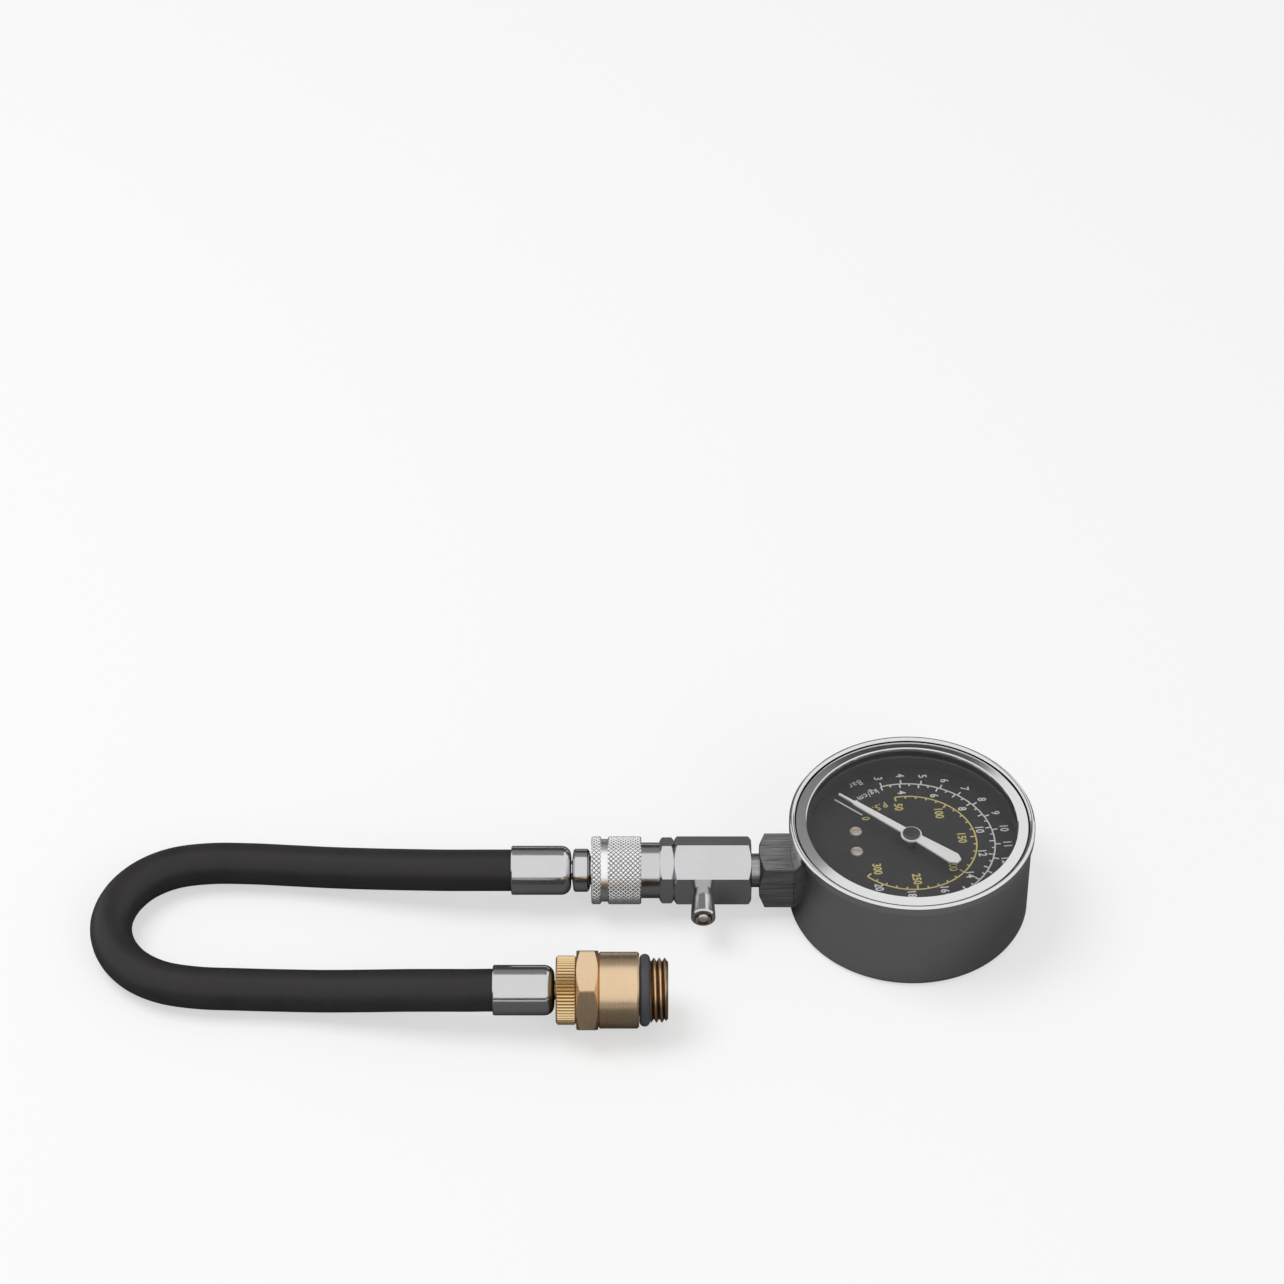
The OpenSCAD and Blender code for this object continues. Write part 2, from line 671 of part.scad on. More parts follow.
// Headed rivet through the sector's tail and the link, with a spacing collar between them
module link_rivet() {
    head_r = 1.1;
    collar_low = sector_z + sheet_t + 0.15;
    color("silver") translate(tail_at)
        turned([[0, sector_z - 0.55], [head_r, sector_z - 0.55], [head_r, sector_z - 0.15],
            [rivet_r, sector_z - 0.15], [rivet_r, collar_low], [head_r, collar_low], [head_r, link_z],
            [rivet_r, link_z], [rivet_r, link_z + sheet_t], [head_r, link_z + sheet_t],
            [head_r, link_z + sheet_t + 0.3], [0, link_z + sheet_t + 0.3]]);
}

// Movement plate with pivot holes and a hole over each pillar, and lugs on the lower one
module movement_plate(z, arbor_hole, lugs) {
    difference() {
        translate([0, 0, z]) linear_extrude(plate_t) {
            rounded_outline(-plate_x, plate_y[0], plate_x, plate_y[1], plate_round);
            if (lugs) rounded_outline(step_x + 0.4, -5.6, -plate_x + 2 * plate_round, 5.6, plate_round);
        }
        translate([0, 0, z - over]) linear_extrude(plate_t + 2 * over) {
            circle(arbor_hole + run_gap);
            translate(sector_at) circle(sector_pivot_r + run_gap);
            for (p = pillar_at) translate(p) circle(movement_screw_r + seat_gap);
            if (lugs) for (p = lug_screw_at) translate(p) circle(movement_screw_r + seat_gap);
        }
    }
}

module movement_lower_plate() color("goldenrod") movement_plate(step_z, pivot_r, true);

module movement_upper_plate() color("goldenrod") movement_plate(upper_low, arbor_r, false);

// Pillars drilled at the top for the plate's screws and riveted into the lower plate
module movement_pillars() {
    hole = movement_screw_len - plate_t + 0.2;
    color("goldenrod") for (p = pillar_at) translate(p)
        turned([[0, step_z], [movement_screw_r, step_z], [movement_screw_r, lower_top], [pillar_r, lower_top],
            [pillar_r, upper_low], [movement_screw_r + seat_gap, upper_low],
            [movement_screw_r + seat_gap, upper_low - hole], [0, upper_low - hole]]);
}

module movement_screws() {
    color("silver") {
        for (p = pillar_at) translate([p.x, p.y, upper_top])
            slotted_screw(movement_head_r, movement_head_h, movement_screw_r, movement_screw_len);
        for (p = lug_screw_at) translate([p.x, p.y, lower_top])
            slotted_screw(movement_head_r, movement_head_h, movement_screw_r, plate_t + 3);
    }
}

// Flat spiral spring round the arbor, its outer end bent out to a stud under the upper plate
module hairspring() {
    steps = hairspring_turns * 18;
    grow = hairspring_out_r - hairspring_in_r;
    stud_at = [-hairspring_out_r, 0];
    side = [for (i = [0 : steps]) let (t = i / steps, a = 180 - 360 * hairspring_turns * (1 - t))
        (hairspring_in_r + grow * t) * [cos(a), sin(a)]];
    far_side = [for (i = [steps : -1 : 0]) side[i] * (1 + hairspring_t / norm(side[i]))];
    color("goldenrod") {
        translate([0, 0, hairspring_z]) linear_extrude(hairspring_h) polygon(concat(side, far_side));
        translate([stud_at.x, stud_at.y, hairspring_z]) cylinder(r = 0.5, h = upper_low - hairspring_z);
    }
}

module tube_section(grow) {
    w = tube_w + 2 * grow;
    h = tube_h + 2 * grow;
    translate([tube_r, stem_z]) {
        for (side = [-1, 1]) translate([0, side * (h - w) / 2]) circle(d = w);
        square([w, h - w], center = true);
    }
}

// Flattened tube bent to an open circle: pressure opens the bend and pulls the link
module pressure_tube() {
    color("darkgoldenrod") rotate(tube_end_angle) rotate_extrude(angle = tube_root_angle - tube_end_angle)
        difference() {
            tube_section(0);
            tube_section(-tube_wall);
        }
}

// Cap on the tube's end with a flat lug and the stud that the link hooks over
module tube_tip() {
    cap_mid = tube_r * [cos(tube_end_angle - tip_angle / 2), sin(tube_end_angle - tip_angle / 2)];
    color("goldenrod") {
        rotate(tube_end_angle - tip_angle) rotate_extrude(angle = tip_angle) tube_section(0);
        translate([0, 0, tip_lug_z]) linear_extrude(tip_lug_t) bar_outline(cap_mid, link_end, 2.2);
        translate([link_end.x, link_end.y, tip_lug_z])
            cylinder(r = stud_r, h = link_z + sheet_t + 0.4 - tip_lug_z);
    }
}

// One brass piece: threaded end, square shank, spigot through the wall, and the block that carries the
// tube, the movement and the dial
module socket_stem() {
    w = stem_w / 2;
    chamfer = 1.2;
    corner_r = w * sqrt(2);
    pipe_r = pipe_d / 2;
    color("slategray") difference() {
        union() {
            difference() {
                intersection() {
                    translate([-stem_end, -w, stem_z - w]) cube([stem_end - step_x, stem_w, stem_w]);
                    on_stem(-step_x) turned([[0, 0], [corner_r + 1, 0],
                        [corner_r + 1, stem_end + step_x - chamfer * 1.6], [w, stem_end + step_x],
                        [0, stem_end + step_x]]);
                }
                cylinder(r = case_r + seat_gap, h = case_h);
            }
            on_stem(-block_end_x - 1) cylinder(r = spigot_r, h = stem_end + block_end_x - over);
            on_stem(stem_end - over) cylinder(r = pipe_r, h = stem_neck_len + stem_thread_len + over);
            translate([block_end_x, -block_w / 2, case_wall])
                cube([step_x - block_end_x, block_w, block_top - case_wall]);
            translate([step_x - over, -block_w / 2, case_wall])
                cube([step_end_x - step_x + over, block_w, step_z - case_wall]);
            for (p = dial_screw_at)
                translate([p.x, p.y, block_top - over]) cylinder(r = boss_r, h = dial_low - block_top + over);
        }
        on_stem(tube_r - over) cylinder(d = gas_d, h = stem_end + stem_neck_len + stem_thread_len);
        rotate(tube_root_angle - 30) rotate_extrude(angle = 30) tube_section(seat_gap);
        for (p = dial_screw_at)
            translate([p.x, p.y, dial_low - 4]) cylinder(r = dial_shank_r + seat_gap, h = 4 + over);
        for (p = case_screw_at)
            translate([p.x, p.y, 0]) cylinder(r = case_screw_r + seat_gap, h = case_screw_len + 0.3);
        for (p = lug_screw_at)
            translate([p.x, p.y, step_z - 3.4]) cylinder(r = movement_screw_r + seat_gap, h = 3.4 + over);
    }
}

// Hexagonal tee: stem at one end, coupler at the other, relief tube in one flat
module tee_body() {
    bore = pipe_d / 2 + seat_gap;
    color("gainsboro") difference() {
        on_stem(0) hex_bar(tee_af, tee_start, tee_end);
        on_stem(tee_start - over) cylinder(r = bore, h = stem_thread_len + 0.4 + over);
        on_stem(tee_start) cylinder(d = gas_d, h = tee_len);
        on_stem(tee_end - coupler_thread_len - 0.4) cylinder(r = bore, h = coupler_thread_len + 0.4 + over);
        on_relief() translate([0, 0, relief_foot]) cylinder(r = relief_shank_r + seat_gap, h = tee_af);
        on_relief() cylinder(d = gas_d * 0.75, h = relief_foot + over);
    }
}

// Flared tube pressed into the tee, with a wide mouth, a narrow throat and a cavity for the poppet
module relief_tube() {
    color("gainsboro") on_relief() turned([[relief_cavity_r, relief_foot], [relief_shank_r, relief_foot],
        [relief_shank_r, facet_y], [relief_root_d / 2, facet_y], [relief_d / 2 - 0.3, relief_flare],
        [relief_d / 2, relief_mouth - 0.4],
        [relief_d / 2 - 0.4, relief_mouth], [relief_bore / 2, relief_mouth], [relief_bore / 2, throat_out],
        [throat_r, throat_out], [throat_r, throat_in], [relief_cavity_r, throat_in]]);
}

// Push pin: round button in the mouth, a flange for the spring and a thin stem through the throat
module relief_pin() {
    r = pin_d / 2;
    color("silver") on_relief() turned([[0, poppet_in], [pin_stem_r, poppet_in],
        [pin_stem_r, pin_flange_out - pin_flange_t], [pin_flange_r, pin_flange_out - pin_flange_t],
        [pin_flange_r, pin_flange_out], [r, pin_flange_out], [r, pin_tip - 0.6], [r * 0.8, pin_tip - 0.15],
        [r * 0.4, pin_tip], [0, pin_tip]]);
}

module relief_poppet() {
    color("goldenrod") on_relief()
        tube_ring(poppet_r, pin_stem_r + seat_gap / 2, poppet_in, throat_in - relief_seal_t);
}

module relief_seal() {
    color("black") on_relief()
        tube_ring(poppet_r, pin_stem_r + seat_gap / 2, throat_in - relief_seal_t, throat_in - 0.05);
}

module relief_spring() {
    far_end = pin_flange_out - pin_flange_t - 0.05;
    color("silver") on_relief() coil_spring(pin_stem_r + 0.75, relief_wire, throat_out + 0.05, far_end, 4);
}

// Coupler socket: threaded end, hex collar, neck, and the barrel with its ball holes
module coupler_body() {
    neck_r = coupler_neck_d / 2;
    seal_half = seal_t / 2 + seat_gap;
    color("gainsboro") difference() {
        union() {
            on_stem(0) hex_bar(collar_af, tee_end, collar_end);
            on_stem(0) turned([[0, tee_end - coupler_thread_len], [pipe_d / 2, tee_end - coupler_thread_len],
                [pipe_d / 2, collar_end - over], [neck_r, collar_end - over], [neck_r, barrel_start],
                [barrel_r, barrel_start], [barrel_r, snap_s - seat_gap], [snap_in_r, snap_s - seat_gap],
                [snap_in_r, snap_s + snap_t + seat_gap], [barrel_r, snap_s + snap_t + seat_gap],
                [barrel_r, barrel_end - 0.5], [barrel_r - 0.5, barrel_end], [0, barrel_end]]);
        }
        on_stem(tee_end - coupler_thread_len - over)
            cylinder(d = gas_d, h = barrel_end - tee_end + coupler_thread_len);
        on_stem(0) turned([[0, bore_start], [bore_r, bore_start], [bore_r, seal_s - seal_half],
            [bore_r + seal_t, seal_s - seal_half], [bore_r + seal_t, seal_s + seal_half],
            [bore_r, seal_s + seal_half], [bore_r, barrel_end - 0.6], [bore_r + 0.8, barrel_end + 0.2],
            [0, barrel_end + 0.2]]);
        on_stem(ball_s) for (i = [0 : ball_count - 1])
            rotate([0, 90, 360 * i / ball_count]) cylinder(r = ball_r + run_gap, h = barrel_r + over);
    }
}

// Sliding sleeve: its land holds the balls in, and the recess in front of it lets them out
module coupler_sleeve() {
    r = sleeve_d / 2;
    edge = 0.4;
    ring_start = sleeve_end - sleeve_ring_len;
    groove_low = ring_start - sleeve_groove_w;
    color("gainsboro") on_stem(0) turned([[chamber_r, sleeve_start], [r - edge, sleeve_start],
        [r, sleeve_start + edge], [r, groove_low - edge], [sleeve_groove_d / 2, groove_low],
        [sleeve_groove_d / 2, ring_start],
        [r, ring_start + edge], [r, sleeve_end - edge], [r - edge, sleeve_end], [chamber_r, sleeve_end],
        [chamber_r, land_end], [land_r, land_end], [land_r, land_start], [chamber_r, land_start]]);
}

module coupler_spring() {
    color("silver") on_stem(0)
        coil_spring((barrel_r + chamber_r) / 2, sleeve_wire, barrel_start + 0.05, land_start - 0.05, 3);
}

module coupler_balls() {
    color("silver") on_stem(ball_s) for (i = [0 : ball_count - 1])
        rotate(360 * i / ball_count) translate([ball_centre_r, 0, 0]) sphere(ball_r);
}

// Open spring ring in the barrel's groove, which stops the sleeve
module coupler_snap_ring() {
    opening = 30;
    color("silver") on_stem(snap_s) rotate(opening / 2) rotate_extrude(angle = 360 - opening)
        translate([snap_in_r + seat_gap, 0]) square([snap_out_r - snap_in_r - seat_gap, snap_t]);
}

module coupler_seal() {
    color("black") on_stem(seal_s) rotate_extrude()
        translate([bore_r + seal_t / 2, 0]) circle(d = seal_t - seat_gap);
}

// Barbed tail from z0 for the given length, for a hose to be pushed over
function tail_profile(z0, length) = concat(
    [for (i = [0 : 3], edge = [0, 1])
        let (step = (length - 1.5) / 4, z = z0 + 1.5 + i * step)
        edge == 0 ? [tail_r - tail_barb, z] : [tail_r, z + 0.01 * step]],
    [[tail_r - 1, z0 + length], [0, z0 + length]]
);

// Plug: nose in the seal, ball groove, outer collar and a tail in the hose
module hose_plug() {
    r = plug_d / 2;
    neck_r = tail_r - tail_barb;
    color("gainsboro") on_stem(0) difference() {
        turned(concat(
            [[0, plug_nose], [r - 0.5, plug_nose], [r, plug_nose + 0.8], [r, plug_collar_start - 0.4],
                [plug_collar_d / 2 - 0.6, plug_collar_start], [plug_collar_d / 2, plug_collar_start + 0.6],
                [plug_collar_d / 2, plug_collar_end - 0.5], [plug_collar_d / 2 - 0.5, plug_collar_end],
                [neck_r, upper_ferrule_start - 0.2]],
            tail_profile(upper_ferrule_start, tail_len)
        ));
        rotate_extrude() translate([ball_centre_r, ball_s]) circle(ball_r + 2 * run_gap);
        translate([0, 0, plug_nose - over]) cylinder(d = gas_d, h = upper_ferrule_end - plug_nose);
    }
}

// Ferrule: a smooth cup, closed and rounded at z0 and open at its other end
module ferrule(z0) {
    end = z0 + ferrule_len;
    round_points = [for (i = [0 : 6]) let (a = 270 + 15 * i)
        [ferrule_r - ferrule_round + ferrule_round * cos(a), z0 + ferrule_round + ferrule_round * sin(a)]];
    turned(concat(
        [[tail_r + seat_gap, z0]],
        round_points,
        [[ferrule_r, end - 0.3], [ferrule_r - 0.3, end], [ferrule_in_r, end],
            [ferrule_in_r, z0 + ferrule_floor], [tail_r + seat_gap, z0 + ferrule_floor]]
    ));
}

module upper_ferrule() color("gainsboro") on_stem(0) ferrule(upper_ferrule_start);

module lower_ferrule()
    color("gainsboro") on_hose_end() translate([0, 0, ferrule_len]) mirror([0, 0, 1]) ferrule(0);

// Rubber hose along its route, opened at both ends for the tails
module hose() {
    points = [for (i = [0 : len(route) - 1])
        each ring_points(route[i], heading(route, i), hose_r, hose_sides)];
    color([0.12, 0.11, 0.11]) difference() {
        polyhedron(points, wrap_faces(len(route), hose_sides));
        on_stem(upper_ferrule_start) cylinder(r = tail_r + seat_gap, h = tail_len + 0.5);
        on_hose_end() translate([0, 0, ferrule_len - tail_len - 0.5])
            cylinder(r = tail_r + seat_gap, h = tail_len + 0.5);
    }
}

// Brass hose end: tail, knurled collar and the threaded spigot that holds the check core
module hose_end_fitting() {
    r = knurl_d / 2;
    depth = 0.45;
    edge = 0.6;
    count = 2 * knurl_teeth;
    color("darkgoldenrod") on_hose_end() difference() {
        union() {
            intersection() {
                translate([0, 0, knurl_start]) linear_extrude(knurl_len)
                    polygon([for (i = [0 : count - 1]) let (a = 360 * i / count)
                        (r - depth * (i % 2)) * [cos(a), sin(a)]]);
                turned([[0, knurl_start], [r - edge, knurl_start], [r + 0.1, knurl_start + edge],
                    [r + 0.1, adapter_start - edge], [r - edge, adapter_start], [0, adapter_start]]);
            }
            translate([0, 0, ferrule_len]) mirror([0, 0, 1])
                turned(concat([[0, -0.9], [tail_r - tail_barb, -0.9]], tail_profile(0, tail_len)));
            turned([[0, adapter_start - over], [inner_thread_r, adapter_start - over],
                [inner_thread_r, spigot_end - 0.8], [inner_thread_r - 0.8, spigot_end], [0, spigot_end]]);
        }
        translate([0, 0, ferrule_len - tail_len - over]) cylinder(d = gas_d, h = adapter_end);
        translate([0, 0, core_pocket]) cylinder(r = core_r + seat_gap, h = spigot_end - core_pocket + over);
    }
}

// Brass adapter: hexagon, round body, seat for the O-ring and the male thread as a plain cylinder
module m18_adapter() {
    r = adapter_d / 2;
    thread_r = thread_d / 2;
    edge = 0.5;
    color("tan") on_hose_end() difference() {
        union() {
            rotate(-corner_tilt) hex_bar(adapter_af, adapter_start, adapter_body_start);
            turned([[0, adapter_body_start - over], [r - edge, adapter_body_start - over],
                [r - edge, adapter_body_start], [r, adapter_body_start + edge], [r, groove_start - edge],
                [r - edge, groove_start],
                [thread_root_r, groove_start], [thread_root_r, thread_start], [thread_r, thread_start],
                [thread_r, adapter_end - 0.8], [thread_r - 0.8, adapter_end], [0, adapter_end]]);
        }
        translate([0, 0, adapter_start - over])
            cylinder(r = inner_thread_r + seat_gap, h = spigot_end + 0.3 - adapter_start + over);
        translate([0, 0, spigot_end]) cylinder(d = mouth_d, h = adapter_end - spigot_end + over);
    }
}

module adapter_o_ring() {
    color("midnightblue") on_hose_end() translate([0, 0, (groove_start + thread_start) / 2])
        rotate_extrude() translate([thread_root_r + o_ring_t / 2 + seat_gap, 0]) circle(d = o_ring_t);
}

module check_core_body() {
    color("goldenrod") on_hose_end() turned([[core_pin_r + run_gap, core_in], [core_r, core_in],
        [core_r, core_out], [core_chamber_r, core_out], [core_chamber_r, core_chamber_in],
        [core_pin_r + run_gap, core_chamber_in]]);
}

// Pin through the core, with its sealing head on the hose side
module check_core_pin() {
    head_out = core_in - core_seal_t;
    flange_in = core_flange_out - core_flange_t;
    color("silver") on_hose_end() turned([[0, head_out - core_head_t], [core_head_r, head_out - core_head_t],
        [core_head_r, head_out], [core_pin_r, head_out], [core_pin_r, flange_in],
        [core_chamber_r - 0.3, flange_in], [core_chamber_r - 0.3, core_flange_out],
        [core_pin_r, core_flange_out], [core_pin_r, core_pin_end - 0.3], [core_pin_r - 0.3, core_pin_end],
        [0, core_pin_end]]);
}

module check_core_seal() {
    color("black") on_hose_end()
        tube_ring(core_head_r, core_pin_r + seat_gap / 2, core_in - core_seal_t, core_in - 0.05);
}

module check_core_spring() {
    color("silver") on_hose_end() coil_spring((core_pin_r + core_chamber_r) / 2, core_wire,
        core_chamber_in + 0.05, core_flange_out - core_flange_t - 0.05, 5);
}

gauge_case();
bezel_ring();
lens();
lens_gasket();
spacer_ring();
dial_plate();
dial_screws();
case_screws();
pointer();
pointer_cap();
pinion_arbor();
sector_gear();
sector_arbor();
link();
link_rivet();
movement_lower_plate();
movement_upper_plate();
movement_pillars();
movement_screws();
hairspring();
pressure_tube();
tube_tip();
socket_stem();
tee_body();
relief_tube();
relief_pin();
relief_poppet();
relief_seal();
relief_spring();
coupler_body();
coupler_sleeve();
coupler_spring();
coupler_balls();
coupler_snap_ring();
coupler_seal();
hose_plug();
upper_ferrule();
hose();
lower_ferrule();
hose_end_fitting();
m18_adapter();
adapter_o_ring();
check_core_body();
check_core_pin();
check_core_seal();
check_core_spring();
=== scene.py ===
"""Looks of a compression tester: dial gauge, relief tee, quick coupler, hose and brass adapter."""
import math

import bpy
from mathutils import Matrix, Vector


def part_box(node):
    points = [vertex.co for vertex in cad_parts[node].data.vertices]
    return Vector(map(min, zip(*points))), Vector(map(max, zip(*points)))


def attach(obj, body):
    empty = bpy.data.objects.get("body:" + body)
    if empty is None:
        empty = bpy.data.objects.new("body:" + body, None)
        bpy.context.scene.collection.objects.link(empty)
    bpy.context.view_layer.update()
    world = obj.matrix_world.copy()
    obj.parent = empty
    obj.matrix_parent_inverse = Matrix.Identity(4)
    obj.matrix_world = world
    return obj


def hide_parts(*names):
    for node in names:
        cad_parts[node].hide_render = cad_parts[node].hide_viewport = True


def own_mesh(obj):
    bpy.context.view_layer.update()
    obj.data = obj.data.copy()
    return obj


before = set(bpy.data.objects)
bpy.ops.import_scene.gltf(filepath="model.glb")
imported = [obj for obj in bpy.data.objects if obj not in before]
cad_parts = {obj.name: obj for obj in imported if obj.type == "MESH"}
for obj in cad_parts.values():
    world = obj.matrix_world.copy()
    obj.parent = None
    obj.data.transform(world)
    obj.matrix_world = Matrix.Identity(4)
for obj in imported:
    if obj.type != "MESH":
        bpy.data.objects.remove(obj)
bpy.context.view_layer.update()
scene = bpy.context.scene
scene.view_settings.view_transform = "Standard"

# The camera stands in front of the tester and looks down on it with a long lens, as a catalogue
# picture of a tool does, so the dial shows as an ellipse and the hose keeps its size.
camera = bpy.data.objects.new("camera", bpy.data.cameras.new("camera"))
camera.data.lens = 119.44
camera.data.sensor_width = 36.0
camera.location = (-0.0768, -0.8628, 0.8826)
camera.rotation_euler = (math.radians(47.8), 0.0, 0.0)
scene.collection.objects.link(camera)
scene.camera = camera


# Shader maths is written as sums on wires: a wire holds one output socket of a material's nodes,
# and each operator adds the Math node that it stands for.
class Wire:
    def __init__(self, tree, socket=None):
        self.tree = tree
        self.socket = socket

    def node(self, kind, settings=None, inputs=None, output=0):
        made = self.tree.nodes.new(kind)
        for key, value in (settings or {}).items():
            setattr(made, key, value)
        for key, value in (inputs or {}).items():
            if isinstance(value, Wire):
                self.tree.links.new(value.socket, made.inputs[key])
            else:
                made.inputs[key].default_value = value
        return Wire(self.tree, made.outputs[output] if made.outputs else None)

    def maths(self, operation, first, second):
        return self.node("ShaderNodeMath", {"operation": operation}, {0: first, 1: second})

    def __add__(self, other):
        return self.maths("ADD", self, other)

    def __radd__(self, other):
        return self.maths("ADD", other, self)

    def __sub__(self, other):
        return self.maths("SUBTRACT", self, other)

    def __rsub__(self, other):
        return self.maths("SUBTRACT", other, self)

    def __mul__(self, other):
        return self.maths("MULTIPLY", self, other)

    def __rmul__(self, other):
        return self.maths("MULTIPLY", other, self)

    def __pow__(self, other):
        return self.maths("POWER", self, other)


# The floor is a wide sheet of pale paper. The camera, metal and glass see it almost white, and the
# tester's soft shadow stays on it.
floor_mesh = bpy.data.meshes.new("floor")
reach = 4.0
floor_corners = [(-reach, -reach, 0.0), (reach, -reach, 0.0), (reach, reach, 0.0), (-reach, reach, 0.0)]
floor_mesh.from_pydata(floor_corners, [], [(0, 1, 2, 3)])
floor = bpy.data.objects.new("floor", floor_mesh)
floor.location.z = -0.0002
scene.collection.objects.link(floor)
paper = bpy.data.materials.new("pale paper")
paper.use_nodes = True
paper.node_tree.nodes.clear()
sheet = Wire(paper.node_tree)
ray_kinds = ("Is Camera Ray", "Is Glossy Ray", "Is Transmission Ray")


def straight_rays(wire):
    rays = wire.node("ShaderNodeLightPath").socket.node
    first, second, third = (Wire(wire.tree, rays.outputs[name]) for name in ray_kinds)
    return wire.maths("MAXIMUM", first, wire.maths("MAXIMUM", second, third))


seen = straight_rays(sheet)
lit = sheet.node("ShaderNodeBsdfDiffuse", {}, {"Color": (0.86, 0.86, 0.86, 1.0)})
glow = sheet.node("ShaderNodeEmission", {}, {"Color": (1.0, 1.0, 1.0, 1.0), "Strength": 1.0})
blend = sheet.node("ShaderNodeMixShader", {}, {0: seen * 0.55, 1: lit, 2: glow})
sheet.node("ShaderNodeOutputMaterial", {}, {"Surface": blend})
floor_mesh.materials.append(paper)

# Soft studio light: an even white room and two large lamps, one high at the left and one low in front.
# The room shows white to the camera, metal and glass, and lights the rest at a lower level. Metal
# mirrors the room alone and not the lamps, so that it doesn't burn out.
world = bpy.data.worlds.new("studio")
scene.world = world
world.use_nodes = True
world.node_tree.nodes.clear()
room = Wire(world.node_tree)
shown = straight_rays(room)
brightness = 0.50 + shown * 0.50
air = room.node("ShaderNodeBackground", {}, {"Color": (1.0, 1.0, 1.0, 1.0), "Strength": brightness})
room.node("ShaderNodeOutputWorld", {}, {"Surface": air})
aim = (-0.08, -0.02, 0.0)
for name, place, size, power in (
    ("key lamp", (-0.75, 0.15, 1.35), 0.9, 12.5),
    ("front lamp", (0.7, -1.1, 0.9), 0.8, 5.0),
):
    lamp = bpy.data.objects.new(name, bpy.data.lights.new(name, "AREA"))
    lamp.data.size = size
    lamp.data.energy = power
    lamp.location = place
    toward = [a - b for a, b in zip(aim, place)]
    flat = math.hypot(toward[0], toward[1])
    lamp.rotation_euler = (math.atan2(flat, -toward[2]), 0.0, math.atan2(-toward[0], toward[1]))
    lamp.visible_glossy = False
    scene.collection.objects.link(lamp)

# Dark cards stand round the set where the camera doesn't look, and one lies on the paper. Chrome and the
# dial's lens mirror them, which gives the metal its dark lower sides and keeps the dial black.
for name, place, tilt, size, tone in (
    ("back card", (-0.3, 1.0, 0.95), (math.radians(132), 0.0, 0.0), (1.2, 0.8), 0.34),
    ("low back card", (0.0, 1.1, 0.28), (math.radians(95), 0.0, 0.0), (2.2, 0.56), 0.08),
    ("front card", (0.0, -1.2, 0.12), (math.radians(-85), 0.0, 0.0), (2.4, 0.22), 0.07),
    ("ground card", (-0.09, 0.0, -0.0001), (0.0, 0.0, 0.0), (0.46, 0.44), 0.13),
):
    card_coat = bpy.data.materials.new(name)
    card_coat.use_nodes = True
    card_coat.node_tree.nodes.clear()
    card_wire = Wire(card_coat.node_tree)
    card_face = card_wire.node("ShaderNodeBsdfDiffuse", {}, {"Color": (tone, tone, tone, 1.0)})
    card_wire.node("ShaderNodeOutputMaterial", {}, {"Surface": card_face})
    card_mesh = bpy.data.meshes.new(name)
    half_w = size[0] / 2
    half_h = size[1] / 2
    card_mesh.from_pydata(
        [(-half_w, -half_h, 0.0), (half_w, -half_h, 0.0), (half_w, half_h, 0.0), (-half_w, half_h, 0.0)],
        [], [(0, 1, 2, 3)],
    )
    card_mesh.materials.append(card_coat)
    card = bpy.data.objects.new(name, card_mesh)
    card.location = place
    card.rotation_euler = tilt
    card.visible_camera = False
    card.visible_shadow = False
    card.visible_diffuse = False
    card.visible_transmission = False
    scene.collection.objects.link(card)


# The hose is a thick-walled black rubber tube with a slightly dusty, matte skin. Its two ends are held
# in crimped ferrules over the fittings' tails, and it lies on the floor in one long bend.
def finish(name):
    made = bpy.data.materials.new(name)
    made.use_nodes = True
    shader = made.node_tree.nodes["Principled BSDF"]
    return made, Wire(made.node_tree), shader


def feed(wire, shader, **inputs):
    for key, value in inputs.items():
        socket = shader.inputs[key.replace("_", " ")]
        if isinstance(value, Wire):
            wire.tree.links.new(value.socket, socket)
        else:
            socket.default_value = value


def place_on(wire):
    return wire.node("ShaderNodeTexCoord", {}, {}, "Object")


def speckle(wire, scale, detail=4.0):
    settings = {"Vector": place_on(wire), "Scale": scale, "Detail": detail, "Roughness": 0.6}
    return wire.node("ShaderNodeTexNoise", {}, settings, "Fac")


def streaks(wire, stretch, detail):
    along = wire.node("ShaderNodeMapping", {}, {"Vector": place_on(wire), "Scale": stretch})
    return wire.node("ShaderNodeTexNoise", {}, {"Vector": along, "Scale": 1.0, "Detail": detail}, "Fac")


def between(wire, mask, low, high):
    low, high = (colour if isinstance(colour, Wire) else (*colour, 1.0) for colour in (low, high))
    return wire.node("ShaderNodeMix", {"data_type": "RGBA"}, {0: mask, 6: low, 7: high}, 2)


def dented(wire, height, strength):
    return wire.node("ShaderNodeBump", {}, {"Strength": strength, "Distance": 0.0001, "Height": height})


def skin(name, rings, wrapped):
    points = [point for ring in rings for point in ring]
    faces = []
    count = len(rings[0])
    last = len(points) - count
    for i in range(len(rings) if wrapped else len(rings) - 1):
        here = i * count
        there = (here + count) % len(points)
        for k in range(count):
            after = (k + 1) % count
            faces.append((here + k, here + after, there + after, there + k))
    if not wrapped:
        faces.append(tuple(reversed(range(count))))
        faces.append(tuple(range(last, last + count)))
    mesh = bpy.data.meshes.new(name)
    mesh.from_pydata(points, [], faces)
    mesh.shade_smooth()
    return mesh


